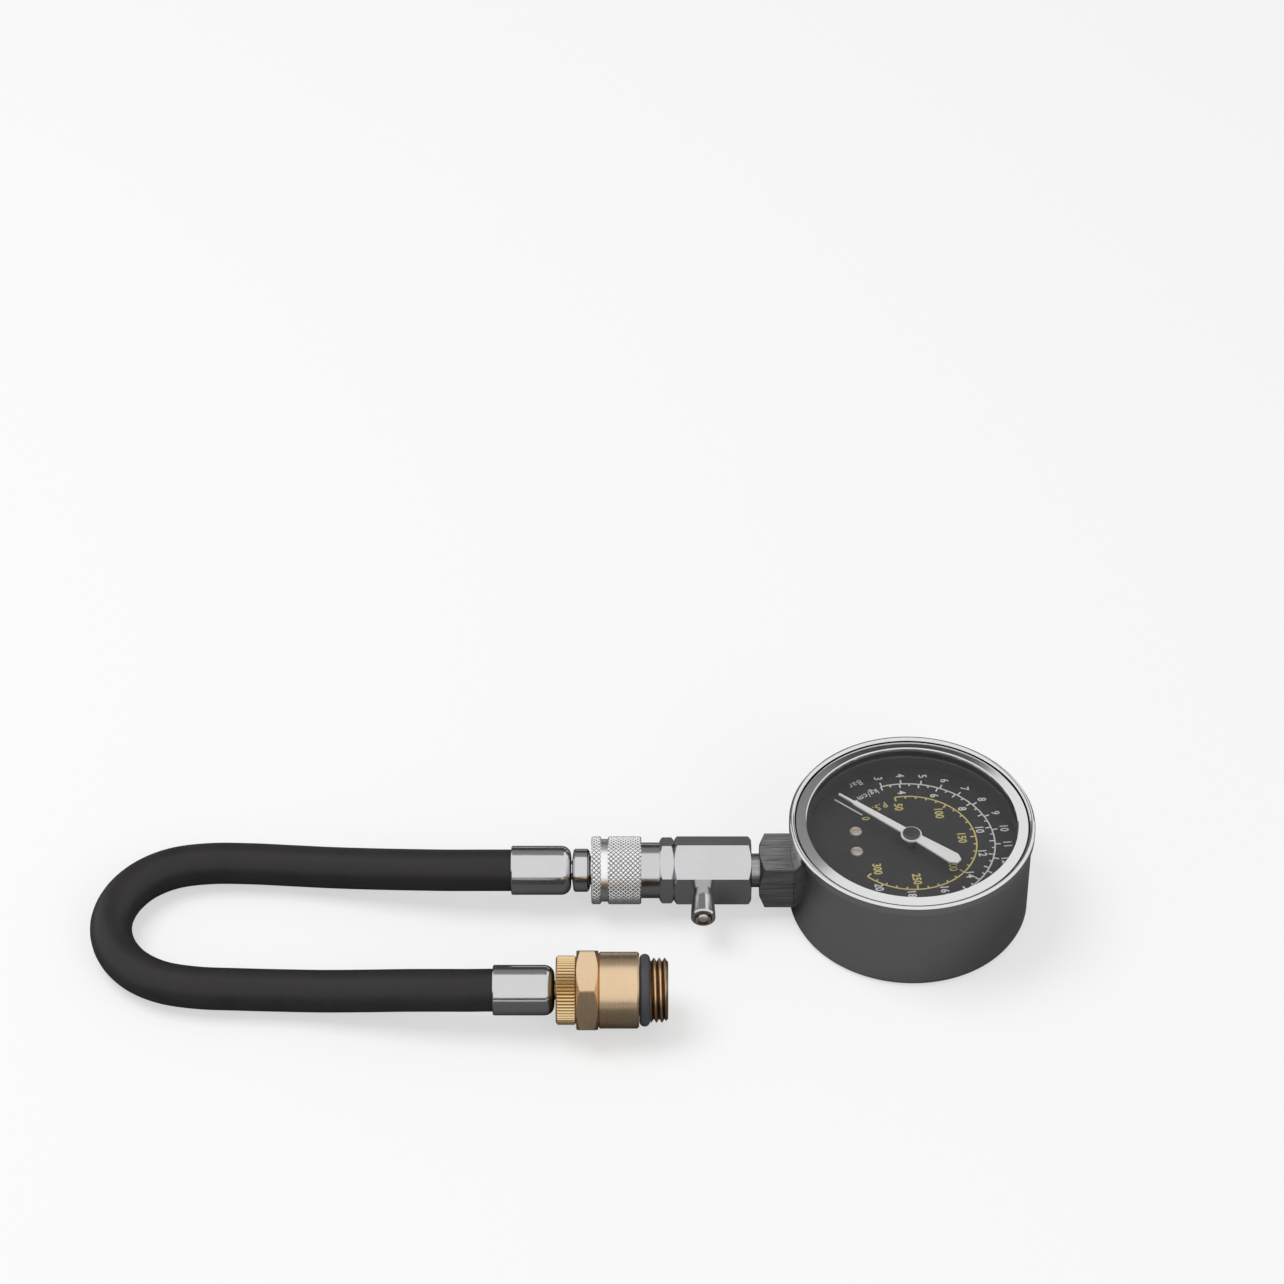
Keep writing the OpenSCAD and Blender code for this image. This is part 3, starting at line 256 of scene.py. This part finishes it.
hose_d = 0.012
hose_r = hose_d / 2 - 0.00002
hose_sides = 32
tail_hole_r = 0.00305
tail_hole_depth = Vector((-0.0142, 0.0, 0.0))
stem_z = 0.0117
end_y = -0.0475
end_z = 0.0122097
hose_route = [
    (-98.2, 0, 11.7), (-116, 0, 11.7), (-124, 0.1, 11.6), (-133, 0.7, 11), (-143, 1.9, 10),
    (-154, 3.6, 8.6), (-166, 5.5, 7.2), (-178, 7.2, 6.3), (-190, 8.2, 6.1), (-202, 8.3, 6.05),
    (-212.5, 6.3, 6.05), (-220.8, 1.1, 6.05), (-226.3, -6.8, 6.05), (-228.3, -16.1, 6.05),
    (-226.3, -25.4, 6.05), (-220.8, -33.3, 6.05), (-212.5, -38.5, 6.05), (-202, -40.8, 6.05),
    (-190, -41.5, 6.1), (-178, -42.2, 6.4), (-166, -43.4, 7.4), (-154, -44.8, 9), (-143, -46.1, 10.6),
    (-133, -47.1, 11.7), (-125, -47.5, 12.11), (-118, -47.5, 12.21), (-102.3, -47.5, 12.21),
]
mm = 0.001
hose_line = []
route_steps = 6
route_last = len(hose_route) - 1
for i in range(route_last):
    before, start, end, after = (hose_route[min(max(i + k, 0), route_last)] for k in (-1, 0, 1, 2))
    for step in range(route_steps):
        t = step / route_steps
        hose_line.append(Vector([
            mm / 2 * (2 * b + (c - a) * t
                      + (2 * a - 5 * b + 4 * c - d) * t ** 2 + (3 * b - a - 3 * c + d) * t ** 3)
            for a, b, c, d in zip(before, start, end, after)
        ]))
hose_line.append(Vector(hose_route[-1]) * mm)
hose_rings = []
side = Vector((0.0, 0.0, 1.0))
for i, middle in enumerate(hose_line):
    ahead = (hose_line[min(i + 1, len(hose_line) - 1)] - hose_line[max(i - 1, 0)]).normalized()
    side = (side - ahead * side.dot(ahead)).normalized()
    across = ahead.cross(side)
    ring = []
    for k in range(hose_sides):
        turn = 2 * math.pi * k / hose_sides
        ring.append(middle + (side * math.cos(turn) + across * math.sin(turn)) * hose_r)
    hose_rings.append(ring)
mouths = [[hose_line[k].lerp(point, tail_hole_r / hose_r) for point in hose_rings[k]] for k in (0, -1)]
bottoms = [[point + tail_hole_depth for point in mouth] for mouth in mouths]
hose_rings = [bottoms[0], mouths[0], *hose_rings, mouths[1], bottoms[1]]
hose_mesh = skin("rubber_hose", hose_rings, wrapped=False)
rubber_hose = bpy.data.objects.new("rubber_hose", hose_mesh)
scene.collection.objects.link(rubber_hose)
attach(rubber_hose, "hose_line")
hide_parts("hose")
hose_rubber, wire, shader = finish("hose rubber")
dust = speckle(wire, 120.0)
grain = speckle(wire, 2600.0, 2.0)
feed(
    wire, shader,
    Base_Color=between(wire, dust, (0.015, 0.014, 0.014), (0.027, 0.025, 0.024)),
    Roughness=0.36 + dust * 0.16,
    Normal=dented(wire, grain, 0.25),
    Specular_IOR_Level=0.30,
)
hose_mesh.materials.append(hose_rubber)


# The gauge's case is a drawn steel cup and its bezel a rolled steel ring, both polished and chromed.
# The plating has a few fine hairlines from handling, and the bezel's face is slightly domed.
def dress(coat, *names):
    for name in names:
        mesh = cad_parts[name].data
        mesh.materials.clear()
        mesh.materials.append(coat)


def from_axis(wire, axis_y, axis_z):
    split = wire.node("ShaderNodeSeparateXYZ", {}, {0: place_on(wire)}).socket.node
    along, across, rise = (Wire(wire.tree, split.outputs[name]) for name in "XYZ")
    return along, across - axis_y, rise - axis_z


def distance_out(first, second):
    return (first ** 2.0 + second ** 2.0) ** 0.5


def chrome_coat(name, tint, dark_tint, rough):
    coat, wire, shader = finish(name)
    haze = speckle(wire, 90.0)
    hair = streaks(wire, (60.0, 1500.0, 900.0), 3.0)
    feed(
        wire, shader,
        Base_Color=between(wire, haze, dark_tint, tint),
        Metallic=1.0,
        Roughness=rough + haze * rough * 0.8,
        Normal=dented(wire, hair, 0.03),
    )
    return coat


case_chrome = chrome_coat("case chrome", (0.66, 0.66, 0.67), (0.58, 0.58, 0.59), 0.14)
dress(case_chrome, "gauge_case")
# A thin near-black ring on the bezel's face, where the face meets the lip, is painted shade in the
# groove between them.
bezel_groove_shade_r = 0.0332
bezel_groove_shade_half = 0.00022
bezel_chrome, wire, shader = finish("bezel chrome")
along, across, _ = from_axis(wire, 0.0, 0.0)
off_bezel_groove_shade = wire.maths("ABSOLUTE", distance_out(along, across) - bezel_groove_shade_r, 0.0)
bezel_groove_shade = wire.maths("LESS_THAN", off_bezel_groove_shade, bezel_groove_shade_half)
feed(
    wire, shader,
    Base_Color=between(wire, bezel_groove_shade, (0.74, 0.74, 0.75), (0.05, 0.05, 0.05)),
    Metallic=1.0,
    Roughness=0.10 + speckle(wire, 90.0) * 0.08,
    Normal=dented(wire, streaks(wire, (60.0, 1500.0, 900.0), 3.0), 0.03),
)
dress(bezel_chrome, "bezel_ring")

# The dial is a thin aluminium plate, sprayed satin black and screen printed. A black plastic ring holds
# it off the lens, and a rubber gasket seals the lens.
dial_black, wire, shader = finish("dial black")
spray = speckle(wire, 900.0)
feed(
    wire, shader,
    Base_Color=between(wire, spray, (0.008, 0.008, 0.009), (0.014, 0.014, 0.015)),
    Roughness=0.42 + spray * 0.12,
    Normal=dented(wire, spray, 0.06),
)
dress(dial_black, "dial_plate")
ring_black, wire, shader = finish("ring black")
moulding = speckle(wire, 400.0)
feed(
    wire, shader,
    Base_Color=between(wire, moulding, (0.010, 0.010, 0.010), (0.020, 0.020, 0.020)),
    Roughness=0.40 + moulding * 0.2,
)
dress(ring_black, "spacer_ring", "lens_gasket")

# Print on the dial: a white scale in bar with kg/cm2 inside it, and a yellow scale in psi. Every scale
# is even, runs clockwise from the zero mark and is read against the pointer's tip. Sizes are in mm.
dial_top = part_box("dial_plate")[1].z
print_lift = 0.00003
letter_narrowing = 0.86
zero_angle = 140.5
scale_lead = 8.35
degrees_per_psi = 0.941
psi_per_bar = 14.504
psi_per_kg = 14.223


def dial_angle(psi):
    return zero_angle + scale_lead - degrees_per_psi * psi


class Ink:
    def __init__(self):
        self.points = []
        self.faces = []

    def patch(self, corners):
        first = len(self.points)
        self.points.extend(corners)
        self.faces.append(tuple(range(first, first + len(corners))))

    def band(self, radius, start, end, width):
        steps = max(2, int(abs(end - start) / 1.5))
        for i in range(steps):
            turns = [math.radians(start + (end - start) * (i + k) / steps) for k in (0, 1)]
            self.patch([
                (r * math.cos(a), r * math.sin(a))
                for r, a in (
                    (radius - width / 2, turns[0]), (radius + width / 2, turns[0]),
                    (radius + width / 2, turns[1]), (radius - width / 2, turns[1]),
                )
            ])

    def tick(self, angle, inner, outer, width):
        a = math.radians(angle)
        side = (-math.sin(a) * width / 2, math.cos(a) * width / 2)
        self.patch([
            (r * math.cos(a) + k * side[0], r * math.sin(a) + k * side[1])
            for r, k in ((inner, -1), (outer, -1), (outer, 1), (inner, 1))
        ])

    def words(self, text, size, radius, angle, up):
        letters = bpy.data.curves.new("letters", "FONT")
        letters.body = text
        letters.size = size
        letters.align_x = "CENTER"
        letters.align_y = "CENTER"
        letters.resolution_u = 3
        figures = text.isdigit()
        letters.offset = size * (0.018 if figures else 0.008)
        letters.space_character = 1.0 if figures else 1.15
        holder = bpy.data.objects.new("letters", letters)
        scene.collection.objects.link(holder)
        bpy.context.view_layer.update()
        drawn = holder.evaluated_get(bpy.context.evaluated_depsgraph_get())
        shape = bpy.data.meshes.new_from_object(drawn)
        a = math.radians(angle)
        u = math.radians(up)
        first = len(self.points)
        for vertex in shape.vertices:
            run, rise = vertex.co.x * letter_narrowing, vertex.co.y
            self.points.append((
                radius * math.cos(a) + run * math.sin(u) + rise * math.cos(u),
                radius * math.sin(a) - run * math.cos(u) + rise * math.sin(u),
            ))
        for face in shape.polygons:
            self.faces.append(tuple(first + i for i in face.vertices))
        bpy.data.objects.remove(holder)
        bpy.data.curves.remove(letters)
        bpy.data.meshes.remove(shape)

    def lay(self, name, colour):
        lift = dial_top + print_lift
        mesh = bpy.data.meshes.new(name)
        mesh.from_pydata([(x * mm, y * mm, lift) for x, y in self.points], [], self.faces)
        for face in mesh.polygons:
            if face.normal.z < 0:
                face.flip()
        printed = bpy.data.objects.new(name, mesh)
        scene.collection.objects.link(printed)
        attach(printed, "gauge")
        coat, wire, shader = finish(name)
        wear = speckle(wire, 1800.0)
        faded = tuple(c * 0.78 for c in colour)
        feed(
            wire, shader,
            Base_Color=between(wire, wear, faded, colour),
            Roughness=0.5 + wear * 0.1,
        )
        mesh.materials.append(coat)


figure_size = 3.4
figure_up = 6.0
figure_gap = 3.5
unit_angle = 122.0
unit_up = 302.0
line_width = 0.43
tick_width = 0.46
long_tick = 1.6
short_tick = 0.9
white = Ink()
bar_r = 24.0
white.band(bar_r, dial_angle(3 * psi_per_kg), dial_angle(20 * psi_per_bar), line_width)
for bar in range(3, 21):
    angle = dial_angle(bar * psi_per_bar)
    white.tick(angle, bar_r, bar_r + long_tick, tick_width)
    if bar <= 12 or bar % 2 == 0:
        white.words(str(bar), figure_size, bar_r + figure_gap, angle, figure_up)
for half_kg in range(6, 41):
    angle = dial_angle(half_kg / 2 * psi_per_kg)
    white.tick(angle, bar_r - (long_tick if half_kg % 2 == 0 else short_tick), bar_r, tick_width)
    if half_kg >= 8 and half_kg % 4 == 0:
        white.words(str(half_kg // 2), figure_size, bar_r - figure_gap, angle, figure_up)
white.tick(zero_angle, 17.5, 27.5, 0.5)
white.words("Bar", 3.2, 28.2, unit_angle, unit_up)
white.words("kg/cm\u00b2", 3.0, 22.6, unit_angle, unit_up)
white.lay("white_print", (0.88, 0.88, 0.86))
yellow = Ink()
psi_r = 18.8
yellow.band(psi_r, dial_angle(50), dial_angle(300), line_width)
for psi in range(50, 301, 10):
    angle = dial_angle(psi)
    yellow.tick(angle, psi_r - (long_tick if psi % 50 == 0 else short_tick), psi_r, tick_width)
    if psi % 50 == 0:
        yellow.words(str(psi), figure_size, psi_r - figure_gap - 0.6, angle, figure_up)
yellow.words("0", 3.2, 15.9, zero_angle + 2.0, figure_up)
yellow.words("P.S.I", 3.2, 16.8, unit_angle - 1.0, unit_up - 1.0)
yellow.lay("yellow_print", (0.80, 0.67, 0.24))

# The hand is stamped from thin sheet and painted white. Its turned cap is pressed on the pinion's arbor,
# and two slotted screws hold the dial to the posts behind it. The relief pin has the screws' plating.
hand_white, wire, shader = finish("hand white")
enamel = speckle(wire, 700.0)
feed(
    wire, shader,
    Base_Color=between(wire, enamel, (0.84, 0.84, 0.83), (0.93, 0.93, 0.92)),
    Roughness=0.36 + enamel * 0.12,
)
dress(hand_white, "pointer")
cap_black, wire, shader = finish("cap black")
turning = speckle(wire, 500.0)
feed(
    wire, shader,
    Base_Color=between(wire, turning, (0.014, 0.014, 0.015), (0.04, 0.04, 0.042)),
    Roughness=0.16 + turning * 0.12,
    Coat_Weight=0.5,
)
dress(cap_black, "pointer_cap")
screw_plate, wire, shader = finish("screw plating")
wipe = speckle(wire, 1400.0)
feed(
    wire, shader,
    Base_Color=between(wire, wipe, (0.74, 0.65, 0.58), (0.90, 0.83, 0.76)),
    Metallic=1.0,
    Roughness=0.44 + wipe * 0.2,
)
dress(screw_plate, "dial_screws", "case_screws", "relief_pin")

# The lens is a flat disc of clear sheet under the bezel. It shows only its reflections, which grow
# towards the edge of view.
lens_clear = bpy.data.materials.new("lens clear")
lens_clear.use_nodes = True
lens_clear.node_tree.nodes.clear()
wire = Wire(lens_clear.node_tree)
through = wire.node("ShaderNodeBsdfTransparent", {}, {"Color": (0.98, 0.98, 0.98, 1.0)})
sheen = wire.node("ShaderNodeBsdfGlossy", {}, {"Color": (1.0, 1.0, 1.0, 1.0), "Roughness": 0.02})
facing = wire.node("ShaderNodeLayerWeight", {}, {"Blend": 0.5}, "Facing")
glaze = wire.node("ShaderNodeMixShader", {}, {0: 0.075 + 0.8 * facing ** 5.0, 1: through, 2: sheen})
wire.node("ShaderNodeOutputMaterial", {}, {"Surface": glaze})
dress(lens_clear, "lens")

# Behind the dial, the movement's plates, gears, link and pressure tube are brass, and its arbors, rivets
# and screws are bright steel. None of it shows until the gauge is opened.
movement_brass, wire, shader = finish("movement brass")
tone = speckle(wire, 60.0)
cut_marks_and_groove_shade = streaks(wire, (9000.0, 60.0, 60.0), 2.0)
feed(
    wire, shader,
    Base_Color=between(wire, tone * 0.7 + cut_marks_and_groove_shade * 0.3, (0.52, 0.38, 0.16), (0.68, 0.52, 0.25)),
    Metallic=1.0,
    Roughness=0.25 + tone * 0.10,
    Normal=dented(wire, cut_marks_and_groove_shade, 0.05),
)
dress(
    movement_brass, "pinion_arbor", "sector_gear", "link", "movement_lower_plate",
    "movement_upper_plate", "movement_pillars", "hairspring", "pressure_tube", "tube_tip",
    "relief_poppet", "check_core_body",
)
bright_steel = chrome_coat("bright steel", (0.70, 0.69, 0.67), (0.60, 0.59, 0.57), 0.18)
dress(
    bright_steel, "sector_arbor", "link_rivet", "movement_screws", "relief_spring",
    "coupler_spring", "coupler_balls", "coupler_snap_ring", "check_core_pin", "check_core_spring",
)


# The stem is a milled steel bar with the cutter's fine lines along its flats. The tee and the coupler's
# socket are turned from hexagonal steel bar, polished and chromed.
def spread(wire, value, low, high):
    settings = {"Value": value, "From Min": low, "From Max": high}
    return wire.node("ShaderNodeMapRange", {}, settings, "Result")


milled_steel, wire, shader = finish("milled steel")
strokes = spread(wire, streaks(wire, (90.0, 3800.0, 3800.0), 4.0), 0.36, 0.64)
feed(
    wire, shader,
    Base_Color=between(wire, strokes, (0.26, 0.26, 0.262), (0.52, 0.52, 0.53)),
    Metallic=1.0,
    Roughness=0.26 + strokes * 0.12,
    Normal=dented(wire, strokes, 0.05),
)
dress(milled_steel, "socket_stem")
tee_chrome = chrome_coat("tee chrome", (0.66, 0.66, 0.67), (0.58, 0.58, 0.59), 0.12)
tube_chrome = chrome_coat("tube chrome", (0.68, 0.68, 0.69), (0.60, 0.60, 0.61), 0.10)
dress(tee_chrome, "tee_body", "coupler_body")
dress(tube_chrome, "relief_tube", "hose_plug", "upper_ferrule", "lower_ferrule")
seal_rubber, wire, shader = finish("seal rubber")
bloom = speckle(wire, 300.0)
feed(
    wire, shader,
    Base_Color=between(wire, bloom, (0.012, 0.012, 0.012), (0.025, 0.024, 0.024)),
    Roughness=0.5 + bloom * 0.2,
)
dress(seal_rubber, "relief_seal", "coupler_seal", "check_core_seal")

# The coupler's sleeve is a chromed steel collar with a rolled diamond knurl on its grip and on its front
# ring. It slides back against its spring to let the balls out.
sleeve_r = 9.75
sleeve_edge_r = sleeve_r - 0.5
sleeve_groove_r = 9.0
sleeve_bore = 8.2
land_bore = 6.6
sleeve_start = 77.0
land_start = 83.6
grip_end = 86.6
land_end = 87.1
front_start = 88.5
sleeve_end = 91.3
rim = 0.05
band_step = 0.11
band_edge = 0.35
knurl_count = 44
knurl_depth = 0.34


def stem_place(r, turn, s):
    return (-mm * s, -mm * r * math.cos(turn), stem_z + mm * r * math.sin(turn))


def knurl_dip(turn, s):
    around = knurl_count * turn / (2 * math.pi)
    along = s * knurl_count / (2 * math.pi * sleeve_r)
    ways = [abs((around + sign * along) % 1.0 - 0.5) * 2 for sign in (-1, 1)]
    return knurl_depth * max(0.0, (max(ways) - 0.6) / 0.4)


sleeve_rings = []
sleeve_steps = knurl_count * 10
sleeve_turns = [2 * math.pi * k / sleeve_steps for k in range(sleeve_steps)]


def plain_ring(r, s):
    sleeve_rings.append([(r, turn, s) for turn in sleeve_turns])


def knurled_band(start, end):
    steps = int((end - start) / band_step)
    for i in range(steps + 1):
        s = start + (end - start) * i / steps
        inset = max(0.0, band_edge - min(s - start, end - s)) * 0.9
        sleeve_rings.append([
            (sleeve_r - max(inset, knurl_dip(turn, s)), turn, s) for turn in sleeve_turns
        ])


plain_ring(sleeve_bore, sleeve_start)
plain_ring(sleeve_edge_r, sleeve_start)
knurled_band(sleeve_start + rim, grip_end - rim)
plain_ring(sleeve_edge_r, grip_end)
plain_ring(sleeve_groove_r, grip_end + 0.02)
plain_ring(sleeve_groove_r, front_start - 0.02)
plain_ring(sleeve_edge_r, front_start)
knurled_band(front_start + rim, sleeve_end - rim)
plain_ring(sleeve_edge_r, sleeve_end)
plain_ring(sleeve_bore, sleeve_end)
plain_ring(sleeve_bore, land_end)
plain_ring(land_bore, land_end)
plain_ring(land_bore, land_start)
plain_ring(sleeve_bore, land_start)
sleeve_points = [[stem_place(*place) for place in ring] for ring in sleeve_rings]
sleeve_mesh = skin("knurled_sleeve", sleeve_points, wrapped=True)
sleeve_mesh.set_sharp_from_angle(angle=math.radians(28))
knurled_sleeve = bpy.data.objects.new("knurled_sleeve", sleeve_mesh)
scene.collection.objects.link(knurled_sleeve)
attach(knurled_sleeve, "sleeve")
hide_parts("coupler_sleeve")
sleeve_coat, wire, shader = finish("sleeve chrome")
along, across, rise = from_axis(wire, 0.0, stem_z)
shift = along * (-knurl_count / (2 * math.pi * sleeve_r * mm))
around = wire.maths("ARCTAN2", rise, across * -1.0) * (knurl_count / (2 * math.pi))
# The knurl's grooves on both bands are coloured near black as painted shade. The diamonds' tops keep a
# bright chrome colour.
knurl_shade_lines = [
    wire.maths("ABSOLUTE", wire.maths("FRACT", way + 10.0 * knurl_count, 0.0) - 0.5, 0.0) * 2.0
    for way in (around + shift, around - shift)
]
on_band = wire.maths("GREATER_THAN", distance_out(across, rise), mm * (sleeve_groove_r + 0.15))
cut_marks_and_groove_shade = spread(wire, wire.maths("MAXIMUM", knurl_shade_lines[0], knurl_shade_lines[1]), 0.78, 0.94)
feed(
    wire, shader,
    Base_Color=between(wire, cut_marks_and_groove_shade * on_band, (0.92, 0.92, 0.92), (0.07, 0.07, 0.07)),
    Metallic=1.0,
    Roughness=0.24 + speckle(wire, 90.0) * 0.12,
)
sleeve_mesh.materials.append(sleeve_coat)

# The hose end is brass bar with a straight-knurled collar, with painted shade at the knurl's roots. The
# adapter screwed on it has a hexagon for a spanner, a turned body, an O-ring and a cut M18 thread of 1.5
# mm pitch, with painted shade in its grooves.
tooth_root_r = 0.00925
tooth_tip_r = 0.0095
end_brass, wire, shader = finish("knurl brass")
_, across, rise = from_axis(wire, end_y, end_z)
# The brass is dark brown at the knurl's roots and bright at its tips. The dark roots are painted shade.
end_knurl_shade = spread(wire, distance_out(across, rise), tooth_root_r, tooth_tip_r)
feed(
    wire, shader,
    Base_Color=between(wire, end_knurl_shade, (0.26, 0.17, 0.08), (0.86, 0.63, 0.35)),
    Metallic=1.0,
    Roughness=0.20 + speckle(wire, 60.0) * 0.12,
)
dress(end_brass, "hose_end_fitting")
adapter_sides = 240
adapter_turns = [2 * math.pi * k / adapter_sides for k in range(adapter_sides)]
adapter_rings = []
end_x = -0.1184
socket_r = 7.0
socket_end = 39.0
mouth_r = 4.0
hex_start = 23.3
hex_end = 29.4
hex_flat = 11.0
hex_tilt = math.radians(-16.0)
hex_face_r = hex_flat * 0.985
hex_slope = math.tan(math.radians(30.0))
body_r = 10.7
body_edge = 0.5
body_end = 40.8
thread_r = 9.0
thread_relief_r = 7.1
thread_depth = 0.92
thread_pitch = 1.5
thread_start = 43.6
thread_end = 48.7
thread_steps = 72
lead_in = 0.35
run_out = 0.7
nose_r = 7.9
nose_end = 48.9


def end_place(r, turn, x):
    return (end_x + mm * x, end_y + mm * r * math.sin(turn), end_z - mm * r * math.cos(turn))


def adapter_ring(r, x):
    adapter_rings.append([(r, turn, x) for turn in adapter_turns])


def hex_r(turn):
    off = (turn - hex_tilt) % (math.pi / 3) - math.pi / 6
    return hex_flat / math.cos(off)


adapter_ring(socket_r, hex_start)
adapter_ring(hex_face_r, hex_start)
for x, way in ((hex_start, 1), (hex_end, -1)):
    adapter_rings.append([
        (hex_r(turn), turn, x + way * (hex_r(turn) - hex_face_r) * hex_slope) for turn in adapter_turns
    ])
adapter_ring(hex_face_r, hex_end)
adapter_ring(body_r - body_edge, hex_end)
adapter_ring(body_r, hex_end + body_edge)
adapter_ring(body_r, body_end - body_edge)
adapter_ring(body_r - body_edge, body_end)
adapter_ring(thread_relief_r, body_end)
for i in range(thread_steps + 1):
    x = thread_start + (thread_end - thread_start) * i / thread_steps
    fade = min(1.0, (thread_end - x) / run_out)
    ring = []
    for turn in adapter_turns:
        phase = ((x - thread_start) / thread_pitch - turn / (2 * math.pi)) % 1.0
        groove = min(1.0, max(0.0, (abs(phase - 0.5) * 2 - 0.18) * 1.35))
        r = thread_r - thread_depth * groove
        if x < thread_start + lead_in:
            r = min(r, thread_relief_r + (x - thread_start) * 5.4)
        ring.append((min(r, thread_r - 0.8 * (1.0 - fade)), turn, x))
    adapter_rings.append(ring)
adapter_ring(nose_r, nose_end)
adapter_ring(mouth_r, nose_end)
adapter_ring(mouth_r, socket_end)
adapter_ring(socket_r, socket_end)
adapter_points = [[end_place(*place) for place in ring] for ring in adapter_rings]
adapter_mesh = skin("threaded_adapter", adapter_points, wrapped=True)
adapter_mesh.set_sharp_from_angle(angle=math.radians(24))
threaded_adapter = bpy.data.objects.new("threaded_adapter", adapter_mesh)
scene.collection.objects.link(threaded_adapter)
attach(threaded_adapter, "hose_line")
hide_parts("m18_adapter")
adapter_brass, wire, shader = finish("adapter brass")
along, across, rise = from_axis(wire, end_y, end_z)
past_start = wire.maths("GREATER_THAN", along, end_x + mm * thread_start)
before_end = wire.maths("LESS_THAN", along, end_x + mm * thread_end)
# The thread's grooves are coloured dark brown as painted shade. The crests keep the turned brass colour.
thread_groove_shade = spread(wire, distance_out(across, rise), mm * (thread_r - 0.2), mm * (thread_r - 0.8))
tone = speckle(wire, 60.0)
cut_marks_and_groove_shade = streaks(wire, (9000.0, 60.0, 60.0), 2.0)
turned = between(wire, tone * 0.7 + cut_marks_and_groove_shade * 0.3, (0.66, 0.47, 0.28), (0.90, 0.68, 0.46))
feed(
    wire, shader,
    Base_Color=between(wire, thread_groove_shade * past_start * before_end, turned, (0.16, 0.09, 0.04)),
    Metallic=1.0,
    Roughness=0.17 + tone * 0.10 + cut_marks_and_groove_shade * 0.15,
    Normal=dented(wire, cut_marks_and_groove_shade, 0.25),
)
adapter_mesh.materials.append(adapter_brass)
o_ring_rubber, wire, shader = finish("o ring rubber")
talc = speckle(wire, 260.0)
feed(
    wire, shader,
    Base_Color=between(wire, talc, (0.030, 0.032, 0.036), (0.070, 0.072, 0.078)),
    Roughness=0.42 + talc * 0.2,
)
dress(o_ring_rubber, "adapter_o_ring")

# Three coil springs, each held at one end, sit against the relief pin, the coupler's sleeve and the
# check core's pin, and they shorten as these move. Here each spring is only given a mesh of its own.
for name, joint, axis, held, travel in (
    ("relief_spring", "relief_press", (0.0, 1.0, 0.0), -0.0113, 0.0015),
    ("coupler_spring", "sleeve_slide", (1.0, 0.0, 0.0), -0.07715, 0.0035),
    ("check_core_spring", "check_press", (1.0, 0.0, 0.0), -0.08485, 0.0012),
):
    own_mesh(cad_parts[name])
